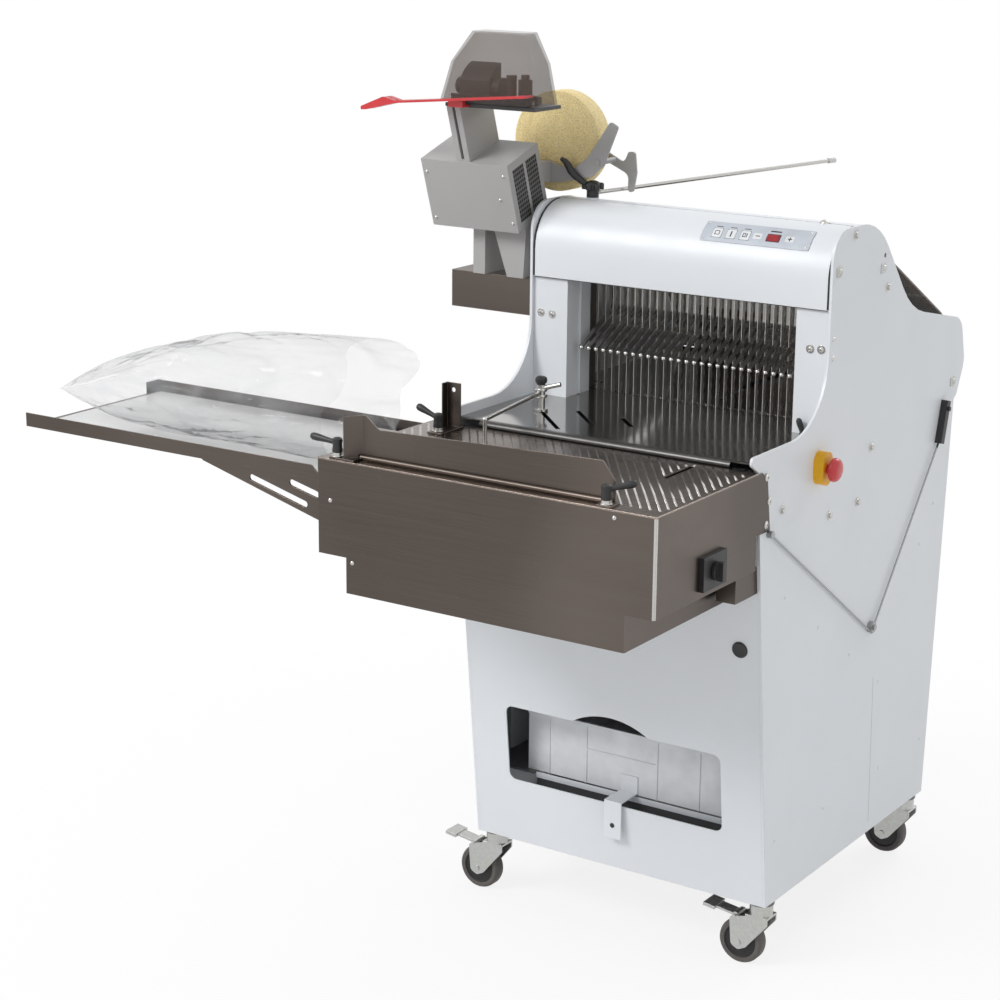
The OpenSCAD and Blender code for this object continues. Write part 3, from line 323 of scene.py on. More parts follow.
def moulded(name, base, roughness=0.42, grain=520.0, depth=0.00006, constants=None):
    """Moulded plastic: fine spark grain, mould clouding and rubbed edges."""
    f = Finish(name, base, constants=constants)
    cloud = f.noise(22.0, 4.0)
    shade = f.mix(cloud.clip(0.3, 0.75), tone(base, 0.90), tone(base, 1.08))
    f.put({
        "Base Color": f.mix(f.rim(0.0010) * 0.25, shade, blended(base, (0.55, 0.55, 0.55), 0.45)),
        "Roughness": roughness + cloud.clip(0.3, 0.8) * 0.12,
    })
    return f.bump(f.cells(grain), depth, 0.5, 0.0007)


def bin_finish(name, base, tab, tab_y):
    """The bin's plastic, with its painted tab before one Y in metres."""
    f = moulded(name, base, 0.30, 380.0, 0.00008)
    plain = Wire(f, f.shader.inputs["Base Color"].links[0].from_socket)
    f.put({"Base Color": f.mix((0 - f.axis("Y")) > -tab_y, plain, tab)})
    return f


def smoked(name, base, density):
    """Smoke-tinted clear sheet, denser where it is seen along its face, with wiped streaks."""
    f = Finish(name, base, constants={"Specular IOR Level": 0.6, "IOR": 1.5})
    haze = f.noise(7.0, 4.0)
    wipe = f.noise(1.0, 3.0, stretch=(60, 14, 14), turn=(0.0, 0.4, 0.5))
    slant = f.node("ShaderNodeLayerWeight", {}, {"Blend": 0.3}, out="Facing")
    f.put({
        "Base Color": f.mix(haze.clip(0.3, 0.8) * 0.4, base, tone(base, 1.35)),
        "Alpha": density + haze.clip(0.3, 0.8) * 0.05 + (slant ** 3.0) * 0.45,
        "Roughness": 0.05 + wipe.clip(0.45, 0.8) * 0.10,
    })
    return f.bump(haze, 0.0002, 0.15, 0.0015)


def film(name, base):
    """Clear bag film: long soft folds with painted highlights along their ridges, a little grey where it
    turns away from the eye.
    """
    f = Finish(name, base, constants={"Specular IOR Level": 0.75, "IOR": 1.5})
    fold = f.noise(9.0, 2.5, stretch=(0.42, 1, 1), turn=(0, 0, 0.25), rough=0.45)
    line = (1 - abs(fold * 2 - 1)).clip(0.86, 1.0)
    soft = f.noise(4.0, 3.0)
    turned = f.node("ShaderNodeLayerWeight", {}, {"Blend": 0.30}, out="Facing")
    # Painted highlight: the film's colour lightens along the fold lines.
    f.put({
        "Base Color": f.mix(line * 0.7, base, tone(base, 1.5)),
        "Alpha": 0.045 + line * 0.07 + soft.clip(0.45, 0.75) * 0.04 + (turned ** 2.5) * 0.36,
        "Roughness": 0.045 + soft.clip(0.4, 0.8) * 0.07,
    })
    return f.bump(fold, 0.006, 0.5)


def spare_film(name, base):
    """A stack of flat bags: milky film with soft ripples."""
    f = Finish(name, base, constants={"Specular IOR Level": 0.6})
    ripple = f.noise(5.0, 3.0, stretch=(1, 2.2, 1))
    shine = f.noise(18.0, 3.0)
    f.put({
        "Base Color": f.mix(ripple.clip(0.35, 0.7), tone(base, 0.95), tone(base, 1.05)),
        "Alpha": 0.90 + ripple.clip(0.3, 0.7) * 0.08,
        "Roughness": 0.16 + shine.clip(0.4, 0.7) * 0.12,
    })
    return f.bump(ripple, 0.0012, 0.4)


def wound(name, base, centre):
    """The reel's wound tape: rings and speckle on its sides, lines across its rim."""
    f = Finish(name, base)
    away = f.place(shift=(-centre[0], -centre[1], -centre[2]))
    flat = f.node("ShaderNodeVectorMath", {"operation": "MULTIPLY"}, {0: away, 1: (1, 0, 1)})
    reach = f.node("ShaderNodeVectorMath", {"operation": "LENGTH"}, {0: flat}, out="Value")
    layer = f.node("ShaderNodeMath", {"operation": "FRACT"}, {0: reach * 420.0})
    speck = f.cells(330.0)
    wander = f.noise(60.0, 4.0)
    shade = f.mix(speck.clip(0.10, 0.5), tone(base, 0.72), tone(base, 1.14))
    shade = f.mix(wander.clip(0.45, 0.75) * 0.3, shade, (base[0] * 0.80, base[1] * 0.74, base[2] * 0.62))
    shade = f.mix((1 - layer).clip(0.75, 1.0) * 0.25, shade, tone(base, 0.55))
    f.put({"Base Color": shade, "Roughness": 0.62 + speck.clip(0.2, 0.7) * 0.2})
    return f.bump(layer * 0.5 + speck * 0.5, 0.0006, 0.8)


def meshed(name, lean):
    """Dark punched sheet in a leaned frame: rows of small holes in grey paint."""
    f = Finish(name, (0.05, 0.05, 0.05), constants={"Specular IOR Level": 0.4})
    spot = f.place(turn=(-lean, 0, 0))
    rows = []
    for way, pitch in (("Y", 170.0), ("Z", 120.0)):
        along = f.node("ShaderNodeSeparateXYZ", {}, {0: spot}, out=way)
        rows.append(f.node("ShaderNodeMath", {"operation": "FRACT"}, {0: along * pitch}))
    hole = (rows[0] > 0.28) * (rows[1] > 0.34)
    dust = f.noise(60.0, 3.0)
    sheet = f.mix(dust, (0.12, 0.12, 0.12), (0.20, 0.20, 0.195))
    f.put({
        "Base Color": f.mix(hole, sheet, (0.008, 0.008, 0.008)),
        "Roughness": 0.5 + dust.clip(0.3, 0.8) * 0.2,
    })
    return f.bump(1 - hole, 0.0006, 0.8)


def cable_finish(name, base, grip_y):
    """Twisted steel cable and pulley, with the black grip of its tensioner behind one Y."""
    f = Finish(name, base)
    grip = f.axis("Y") > grip_y
    twist = f.node("ShaderNodeTexWave", {"wave_type": "BANDS", "bands_direction": "DIAGONAL"}, {
        "Vector": f.place(), "Scale": 260.0, "Distortion": 0.4})
    lay = f.mix(twist.clip(0.2, 0.8), tone(base, 0.55), tone(base, 1.1))
    f.put({
        "Base Color": f.mix(grip, lay, (0.018, 0.018, 0.019)),
        "Metallic": 1 - grip,
        "Roughness": 0.32 + grip * 0.16,
    })
    return f.bump(twist * (1 - grip), 0.0003, 0.5)


def glowing(name, base, strength):
    """A lamp behind a tinted window, in faint bars."""
    f = Finish(name, base, roughness=0.18, constants={"Emission Strength": strength})
    bar = f.noise(160.0, 2.0)
    f.put({
        "Base Color": f.mix(bar.clip(0.3, 0.7), tone(base, 0.7), base),
        "Emission Color": f.mix(bar.clip(0.3, 0.7), tone(base, 0.6), tone(base, 1.2)),
    })
    return f.bump(bar, 0.00002, 0.2)


FINISHES = {}


def make_finishes(colours):
    """Every finish by name, made once."""
    reel_low, reel_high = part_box("tape_reel")
    made = [
        painted("white_paint", colours.white_paint),
        painted("grey_paint", colours.grey_paint, 0.42, 0.00010, 0.25),
        painted("base_paint", tone(colours.dark_paint, 2.6)),
        painted("dark_paint", colours.dark_paint, 0.45, 0.00010, 0.6),
        brushed("stainless", colours.stainless),
        brushed("pale_stainless", tone(colours.stainless, 1.9), 0.26),
        polished("table_steel", colours.table_steel, 0.08, dull_before=-0.384),
        polished("bright_steel", colours.bright_steel, 0.20),
        polished("blade_steel", tone(colours.bright_steel, 1.55), 0.36),
        polished("comb_steel", tone(colours.bright_steel, 0.72), 0.24),
        plated("zinc", colours.zinc),
        plated("frame_steel", tone(colours.zinc, 0.62)),
        painted("motor_alloy", (0.30, 0.32, 0.34), 0.5, 0.0002, 0.5),
        moulded("belt_rubber", (0.016, 0.016, 0.016), 0.7, 300.0, 0.0002),
        moulded("black_plastic", (0.017, 0.017, 0.018), 0.40),
        bin_finish("bin_plastic", colours.bin_plastic, colours.white_paint, -0.2845),
        moulded("key_plastic", colours.keypad, 0.36, 900.0, 0.00003),
        moulded("pale_key", (0.80, 0.82, 0.84), 0.36, 900.0, 0.00003),
        moulded("red_plastic", colours.red, 0.28, 400.0, 0.00005, {"Coat Weight": 0.3}),
        moulded("yellow_plastic", colours.yellow, 0.34, 400.0, 0.00005),
        moulded("wheel_rubber", colours.tyre, 0.55, 260.0, 0.00015),
        moulded("hub_plastic", (0.010, 0.009, 0.0085), 0.5, 300.0, 0.0001),
        smoked("smoke_clear", colours.smoke, 0.31),
        smoked("smoke_sheet", colours.smoke, 0.74),
        film("film", colours.film),
        spare_film("spare_film", colours.spare_film),
        wound("reel_paper", colours.paper, (reel_low + reel_high) / 2),
        cable_finish("steel_cable", (0.42, 0.43, 0.43), 0.2805),
        meshed("vent_mesh", CLOSER_LEAN),
        glowing("red_display", (0.32, 0.010, 0.016), 0.25),
    ]
    FINISHES.update({f.name: f.material for f in made})


NODE_FINISHES = {
    "white_paint": (
        "left_side_panel right_side_panel front_panel rear_panel fascia_posts top_cover hood"),
    "grey_paint": "clip_housing reel_arms",
    "base_paint": "base_frame",
    "dark_paint": "bearing_blocks blower_housing clip_head",
    "frame_steel": "frame_guides blade_frame_front blade_frame_rear",
    "stainless": "packing_box bag_tray clip_shelf front_guide bag_post",
    "pale_stainless": "slide_plate loaf_pusher",
    "table_steel": "outfeed_table infeed_table",
    "bright_steel": "rod_guide eccentric_shaft motor_pulley stay_rod",
    "blade_steel": "blades_front blades_rear",
    "comb_steel": "hold_down_comb",
    "zinc": "caster_fork_fl caster_fork_fr caster_fork_rl caster_fork_rr brake_pedal_l brake_pedal_r",
    "motor_alloy": "drive_motor",
    "belt_rubber": "drive_belt",
    "black_plastic": (
        "switch_plate switch_knob blower_fan guide_lever_left guide_lever_right post_lever control_panel"),
    "bin_plastic": "crumb_bin",
    "smoke_clear": "clip_cover",
    "smoke_sheet": "rear_cover",
    "film": "open_bag",
    "red_plastic": "neck_guide estop_button",
    "yellow_plastic": "estop_base",
    "reel_paper": "tape_reel",
    "wheel_rubber": "caster_wheel_fl caster_wheel_fr caster_wheel_rl caster_wheel_rr",
    "steel_cable": "side_cable",
}


def verts_of(geom):
    return [g for g in geom if isinstance(g, bmesh.types.BMVert)]


def edges_of(verts):
    return list({e for v in verts for e in v.link_edges})


def standing(origin, axis):
    """The matrix that stands a shape on its origin along an axis."""
    turn = Vector(UP).rotation_difference(Vector(axis)).to_matrix().to_4x4()
    return Matrix.Translation(Vector(origin)) @ turn


def on_hood(x, reach, angle):
    """A point at some reach from the hood's axis, turned up from the front."""
    return Vector((x, HOOD_ARC_Y - reach * math.cos(angle), HOOD_ARC_Z + reach * math.sin(angle)))


def disc(node):
    """The centre, radius and half width of a wheel-like node along Y."""
    low, high = (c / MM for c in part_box(node))
    return (low + high) / 2, (high.z - low.z) / 2, (high.y - low.y) / 2


class Shape:
    """A bmesh in millimetres, built by bmesh operators and kept as one piece."""

    MERGE = 1e-4

    def __init__(self):
        self.bm = bmesh.new()

    @staticmethod
    def island(start):
        """All vertices that hang together with some of them."""
        seen, queue = set(), list(start)
        while queue:
            v = queue.pop()
            if v in seen:
                continue
            seen.add(v)
            queue.extend(e.other_vert(v) for e in v.link_edges)
        return list(seen)

    def outward(self, verts):
        """Turns the faces at some vertices outwards."""
        bmesh.ops.recalc_face_normals(self.bm, faces=list({f for v in verts for f in v.link_faces}))

    def bevel(self, verts, geom, offset, segments, affect="EDGES"):
        """Rounds edges or corners of a shape, and gives all of its vertices."""
        made = bmesh.ops.bevel(
            self.bm, geom=geom, offset=offset, offset_type="OFFSET", affect=affect,
            segments=segments, profile=0.5, material=-1)["verts"]
        return self.island([v for v in (*verts, *made) if v.is_valid])

    def grow(self, loop):
        """Extrudes a loop of edges: each new vertex with the old one behind it, and the new loop."""
        made = bmesh.ops.extrude_edge_only(self.bm, edges=loop)["geom"]
        fresh = verts_of(made)
        known = set(fresh)
        behind = {
            v: next(e.other_vert(v) for e in v.link_edges if e.other_vert(v) not in known) for v in fresh}
        return behind, [g for g in made if isinstance(g, bmesh.types.BMEdge) and known.issuperset(g.verts)]

    def lathe(self, outline, origin, axis, steps):
        """Spins an outline of (radius, height) points round an axis through the origin."""
        fresh = [self.bm.verts.new((r, 0, h)) for r, h in outline]
        edges = [self.bm.edges.new(pair) for pair in zip(fresh, fresh[1:])]
        bmesh.ops.spin(
            self.bm, geom=fresh + edges, cent=(0, 0, 0), axis=UP, angle=math.tau,
            steps=steps, use_merge=True, use_duplicate=False)
        swept = self.island(fresh)
        bmesh.ops.remove_doubles(self.bm, verts=swept, dist=self.MERGE)
        swept = [v for v in swept if v.is_valid]
        self.outward(swept)
        bmesh.ops.transform(self.bm, matrix=standing(origin, axis), verts=swept)
        return self

    def block(self, low, high, round_by=0.0, segments=2, matrix=None):
        """A box between two corners with rounded edges."""
        low, high = Vector(low), Vector(high)
        made = bmesh.ops.create_cube(self.bm, size=1.0)["verts"]
        bmesh.ops.scale(self.bm, vec=high - low, verts=made)
        bmesh.ops.translate(self.bm, vec=(low + high) / 2, verts=made)
        if round_by:
            made = self.bevel(made, edges_of(made), round_by, segments)
        if matrix:
            bmesh.ops.transform(self.bm, matrix=matrix, verts=made)
        return self

    def prism(self, sides, radius, height, origin, axis, round_by):
        """A prism of some sides standing on its origin along an axis, with its top edges rounded."""
        made = bmesh.ops.create_cone(
            self.bm, cap_ends=True, segments=sides, radius1=radius, radius2=radius, depth=height)["verts"]
        bmesh.ops.translate(self.bm, vec=(0, 0, height / 2), verts=made)
        top = [e for e in edges_of(made) if all(v.co.z > height / 2 for v in e.verts)]
        made = self.bevel(made, top, round_by, 2)
        bmesh.ops.transform(self.bm, matrix=standing(origin, axis), verts=made)
        return self

    def tube(self, path, radii, sides):
        """A closed round bar along a path, with one radius for each point."""
        path = [Vector(p) for p in path]
        ring = bmesh.ops.create_circle(self.bm, cap_ends=True, segments=sides, radius=1.0)["verts"]
        flat, loop = {v: v.co.copy() for v in ring}, edges_of(ring)
        for k, (spot, radius) in enumerate(zip(path, radii)):
            if k:
                behind, loop = self.grow(loop)
                flat = {v: flat[old] for v, old in behind.items()}
            ahead = path[min(k + 1, len(path) - 1)] - path[max(k - 1, 0)]
            place = standing(spot, ahead)
            for v, around in flat.items():
                v.co = place @ (around * radius)
        bmesh.ops.contextual_create(self.bm, geom=loop)
        self.outward(self.island(ring))
        return self

    def pad(self, wide, tall, columns, rows, thick, corner=0.0):
        """A closed flat plate in a grid of faces, centred on the origin, with its corners rounded."""
        made = bmesh.ops.create_grid(self.bm, x_segments=columns, y_segments=rows, size=0.5)["verts"]
        bmesh.ops.scale(self.bm, vec=(wide, tall, 1), verts=made)
        if corner:
            tips = [v for v in made if len(v.link_edges) == 2]
            made = self.bevel(made, tips, corner, 4, "VERTICES")
        faces = list({f for v in made for f in v.link_faces})
        raised = verts_of(bmesh.ops.extrude_face_region(self.bm, geom=faces)["geom"])
        bmesh.ops.translate(self.bm, vec=(0, 0, thick), verts=raised)
        whole = self.island(raised)
        self.outward(whole)
        return whole

    def keep(self, name, finish, body, slot=None, stands_for=(), sharp=32.0):
        """Makes the mesh one object in metres, with smooth faces between its sharp edges."""
        bmesh.ops.scale(self.bm, vec=(MM, MM, MM), verts=self.bm.verts)
        limit = math.radians(sharp)
        for face in self.bm.faces:
            face.smooth = True
        for edge in self.bm.edges:
            edge.smooth = len(edge.link_faces) == 2 and edge.calc_face_angle(0.0) < limit
        mesh = bpy.data.meshes.new(name)
        self.bm.to_mesh(mesh)
        self.bm.free()
        made = bpy.data.objects.new(name, mesh)
        bpy.context.scene.collection.objects.link(made)
        mesh.materials.append(FINISHES[finish])
        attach(made, body)
        if stands_for:
            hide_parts(*stands_for)
        return made


DOME = [(0.0, 0.62), (0.45, 0.55), (0.78, 0.36), (0.95, 0.12), (1.0, 0.0), (1.0, -0.25), (0.0, -0.25)]


def dome(shape, origin, axis, radius, steps=16):
    """A low round head seated a little below the surface it stands on."""
    shape.lathe([(r * radius, h * radius) for r, h in DOME], origin, axis, steps)


def socket_bolt(shape, origin, axis, radius):
    """A button head on a washer, with a round recess."""
    shape.lathe([
        (radius * 0.34, 0.2), (radius * 0.36, radius * 0.62), (radius * 0.50, radius * 0.66),
        (radius * 0.78, radius * 0.50), (radius * 0.95, radius * 0.28), (radius, 0.9),
        (radius * 1.45, 0.9), (radius * 1.5, 0.6), (radius * 1.5, -0.3), (0.0, -0.3), (0.0, 0.2),
        (radius * 0.34, 0.2)], origin, axis, 18)


def hex_bolt(shape, origin, axis, radius):
    """A six-sided head on a round washer."""
    way = Vector(axis).normalized()
    shape.lathe([(0, 1.0), (radius * 1.35, 1.0), (radius * 1.45, 0.7), (radius * 1.45, -0.3), (0, -0.3)],
                origin, way, 20)
    shape.prism(6, radius, radius * 0.75, Vector(origin) + way * 0.9, way, radius * 0.14)


class SLICER_OT_finishes(bpy.types.Operator):
    """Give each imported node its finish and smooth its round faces"""
    bl_idname = "slicer.finishes"
    bl_label = "Finishes"

    WELD, CRISP = 2e-6, math.radians(28)

    def execute(self, context):
        make_finishes(context.scene.slicer_colours)
        finish_of = {node: finish for finish, names in NODE_FINISHES.items() for node in names.split()}
        missing = set(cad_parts) - set(finish_of)
        if missing:
            raise RuntimeError(f"no finish for {sorted(missing)}")
        for node, finish in finish_of.items():
            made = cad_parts[node]
            if not made.material_slots:
                made.data.materials.append(None)
            for place in made.material_slots:
                place.material = FINISHES[finish]
            made.data.polygons.foreach_set("use_smooth", [True] * len(made.data.polygons))
            made.modifiers.new("weld", "WELD").merge_threshold = self.WELD
            made.modifiers.new("crisp", "EDGE_SPLIT").split_angle = self.CRISP
        return {"FINISHED"}


class SLICER_OT_stage(bpy.types.Operator):
    """Make the camera, the lights, the world and the floor"""
    bl_idname = "slicer.stage"
    bl_label = "Stage"

    # name, place, size and power
    LAMPS = (
        ("key", (-2.6, -4.2, 4.4), 2.6, 195.0),
        ("fill", (4.6, -1.6, 2.8), 3.0, 15.0),
        ("back", (0.6, 4.2, 4.0), 3.0, 90.0))
    LAMP_AIM = Vector((-0.2, -0.2, 0.8))
    # Rays that see the background as white; the rest get the dim light
    SEEING = ("Is Camera Ray", "Is Glossy Ray", "Is Transmission Ray")
    DIM, WHITE = 0.47, 1.0
    # Share of white in the seen floor, under the part and from far on
    NEAR_GLOW, FAR_GLOW, NEAR, FAR = 0.84, 1.0, 0.4, 1.7
    FLOOR_HALF, CLIP_END, SENSOR = 80.0, 200.0, 36.0

    def execute(self, context):
        scene, stage = context.scene, context.scene.slicer_stage
        scene.view_settings.view_transform = "Standard"
        self.camera(scene, stage)
        self.world(scene)
        self.floor(scene, stage)
        for name, spot, size, watts in self.LAMPS:
            light = bpy.data.lights.new(name, "AREA")
            light.shape, light.size, light.energy = "DISK", size, watts
            made = bpy.data.objects.new(name, light)
            made.location = spot
            made.rotation_euler = (self.LAMP_AIM - Vector(spot)).to_track_quat("-Z", "Y").to_euler()
            scene.collection.objects.link(made)
        return {"FINISHED"}

    def camera(self, scene, stage):
        az, el, roll = stage.azimuth, stage.elevation, stage.roll
        ahead = Vector((-math.sin(az) * math.cos(el), math.cos(az) * math.cos(el), -math.sin(el)))
        level = Vector((math.cos(az), math.sin(az), 0))
        down = ahead.cross(level)
        right = level * math.cos(roll) + down * math.sin(roll)
        up = level * math.sin(roll) - down * math.cos(roll)
        turn = Matrix((right, up, -ahead)).transposed().to_4x4()
        lens = bpy.data.cameras.new("view")
        lens.lens, lens.sensor_width, lens.sensor_fit = stage.lens, self.SENSOR, "HORIZONTAL"
        lens.clip_end = self.CLIP_END
        eye = bpy.data.objects.new("view", lens)
        eye.matrix_world = Matrix.Translation(stage.camera) @ turn
        scene.collection.objects.link(eye)
        scene.camera = eye

    def world(self, scene):
        world = bpy.data.worlds.new("studio")
        world.use_nodes = True
        scene.world = world
        nodes, links = world.node_tree.nodes, world.node_tree.links
        back = nodes["Background"]
        path = nodes.new("ShaderNodeLightPath")
        seen = path.outputs[self.SEEING[0]]
        for ray in self.SEEING[1:]:
            either = nodes.new("ShaderNodeMath")
            either.operation = "MAXIMUM"
            links.new(seen, either.inputs[0])
            links.new(path.outputs[ray], either.inputs[1])
            seen = either.outputs[0]
        level = nodes.new("ShaderNodeMapRange")
        level.inputs[3].default_value, level.inputs[4].default_value = self.DIM, self.WHITE
        links.new(seen, level.inputs[0])
        links.new(level.outputs[0], back.inputs["Strength"])
        back.inputs["Color"].default_value = (1, 1, 1, 1)

    def floor(self, scene, stage):
        f = Finish("floor", stage.floor, roughness=0.7)
        reach = f.node("ShaderNodeVectorMath", {"operation": "LENGTH"}, {0: f.place()}, out="Value")
        path = f.tree.nodes.new("ShaderNodeLightPath")
        seen = Wire(f, path.outputs[self.SEEING[0]])
        for ray in self.SEEING[1:]:
            seen = seen.math("MAXIMUM", seen, Wire(f, path.outputs[ray]))
        share = self.NEAR_GLOW + reach.clip(self.NEAR, self.FAR) * (self.FAR_GLOW - self.NEAR_GLOW)
        glow = f.node("ShaderNodeEmission", {}, {"Color": (1, 1, 1), "Strength": 1.0})
        both = f.node("ShaderNodeMixShader", {}, {
            0: share * seen, 1: Wire(f, f.shader.outputs[0]), 2: glow})
        f.tree.links.new(both.socket, f.output.inputs["Surface"])
        bm = bmesh.new()
        bmesh.ops.create_grid(bm, x_segments=1, y_segments=1, size=self.FLOOR_HALF)
        mesh = bpy.data.meshes.new("floor")
        bm.to_mesh(mesh)
        bm.free()
        mesh.materials.append(f.material)
        made = bpy.data.objects.new("floor", mesh)
        scene.collection.objects.link(made)


class SLICER_OT_open_bag(bpy.types.Operator):
    """Make the blown-open bag that lies on the tray"""
    bl_idname = "slicer.open_bag"
    bl_label = "Open Bag"

    MOUTH_X, LONG, CENTRE_Y, WIDE = -356.0, 606.0, -566.0, 110.0
    LOW_Z, HIGH = 849.0, 202.0
    RINGS, SIDES = 96, 84
    # How square the rings are, the tail's lift and where it starts, the mouth's bulge and where it ends
    SQUARE, LIFT, LIFT_FROM, BULGE, BULGE_TO = 0.72, 56.0, 0.62, 44.0, 0.12
    GIRTH, WALL = 1.72, 0.0002

    def execute(self, context):
        crease = context.scene.slicer_sizes.crease / MM
        shape = Shape()
        ring = bmesh.ops.create_circle(shape.bm, cap_ends=False, segments=self.SIDES, radius=1.0)["verts"]
        angle_of, loop = {v: math.atan2(v.co.y, v.co.x) for v in ring}, edges_of(ring)
        self.lay(angle_of, 0.0, crease)
        for row in range(1, self.RINGS + 1):
            behind, loop = shape.grow(loop)
            angle_of = {v: angle_of[old] for v, old in behind.items()}
            self.lay(angle_of, row / self.RINGS, crease)
        bmesh.ops.recalc_face_normals(shape.bm, faces=shape.bm.faces)
        made = shape.keep("bag_film", "film", "cabinet", "film", ["open_bag"], 180.0)
        wall = made.modifiers.new("wall", "SOLIDIFY")
        wall.thickness, wall.offset = self.WALL, -1.0
        return {"FINISHED"}

    def lay(self, angle_of, u, crease):
        """Sets one ring of the bag: open at the mouth, drawn in at the sealed tail, folded between."""
        wide = self.WIDE * (1.0 - 0.30 * u ** 6) * (1.0 + 0.04 * math.sin(u * 9.0) * u)
        lift = self.LIFT * max(0.0, (u - self.LIFT_FROM) / (1.0 - self.LIFT_FROM)) ** 2
        tall = self.HIGH * (1.0 - 0.985 * u ** 5) * (1.0 - 0.20 * u)
        for v, a in angle_of.items():
            y, z = (math.copysign(abs(c) ** self.SQUARE, c) for c in (math.cos(a), math.sin(a)))
            bulge = self.BULGE * max(0.0, z) * (1.0 - z * z) * 2.6 * max(0.0, 1.0 - u / self.BULGE_TO)
            spot = Vector((
                self.MOUTH_X - self.LONG * u + bulge, self.CENTRE_Y + wide * y,
                self.LOW_Z + lift + tall * (0.5 + 0.5 * z)))
            v.co = self.folded(spot, a, u, crease)

    def folded(self, spot, a, u, crease):
        """Draws the film inwards along long folds that gather towards the tail and cross near the mouth."""
        x, y = math.cos(a), math.sin(a)
        long_way = noise.noise(Vector((x * 2.6, y * 2.6, u * 2.2)))
        slant = noise.noise(Vector((x * 1.5 + u * 3.4, y * 1.5 - u * 1.2, u * 4.5 + 11.0)))
        fold = (1.0 - min(1.0, abs(long_way) * 3.0)) ** 3 + 0.9 * (1.0 - min(1.0, abs(slant) * 3.2)) ** 3
        sway = 0.45 * noise.noise(Vector((x * 0.9, y * 0.9 + 5.0, u * 3.0)))
        depth = crease * (fold + sway) * (0.35 + 0.9 * u) * (1.0 - 0.7 * u ** 8)
        centre = Vector((spot.x, self.CENTRE_Y, self.LOW_Z + self.HIGH * 0.45 * (1.0 - 0.6 * u ** 3)))
        way = centre - spot
        if way.length > 1e-3:
            spot = spot + way.normalized() * min(depth, way.length * 0.4)
        spot.z = max(spot.z, self.LOW_Z)
        return spot


class SLICER_OT_spare_bags(bpy.types.Operator):
    """Lay the stack of flat bags on the tray's floor"""
    bl_idname = "slicer.spare_bags"
    bl_label = "Spare Bags"

    LOW, HIGH = Vector((-984.0, -676.0)), Vector((-352.0, -352.0))
    TURNS, STEP, COLUMNS, ROWS = (-0.25, 0.35, -0.15, 0.2), 1.0, 60, 32
    RIPPLE, WALL = 0.28, 0.0003

    def execute(self, context):
        for layer, turn in enumerate(self.TURNS):
            shape = Shape()
            bm = shape.bm
            made = bmesh.ops.create_grid(bm, x_segments=self.COLUMNS, y_segments=self.ROWS, size=0.5)["verts"]
            inset = 3.0 + 4.0 * (layer % 3)
            wide = self.HIGH.x - self.LOW.x - 2 * inset
            deep = self.HIGH.y - self.LOW.y - 10.0 - 2 * inset
            bmesh.ops.scale(bm, vec=(wide, deep, 1.0), verts=made)
            swing = Matrix.Rotation(math.radians(turn), 3, "Z")
            bmesh.ops.rotate(bm, cent=(0, 0, 0), matrix=swing, verts=made)
            centre = (*(self.LOW + self.HIGH) / 2, TRAY_FLOOR_Z + 0.5 + layer * self.STEP)
            bmesh.ops.translate(bm, vec=centre, verts=made)
            for v in made:
                v.co.z += self.RIPPLE * noise.noise(Vector((v.co.x * 0.012, v.co.y * 0.02, layer * 9.0)))
            made = shape.keep(f"spare_bag_{layer + 1}", "spare_film", "cabinet", "film", sharp=180.0)
            made.modifiers.new("wall", "SOLIDIFY").thickness = self.WALL
            flat = (round(deep * MM, 3), round(wide * MM, 3))
        return {"FINISHED"}


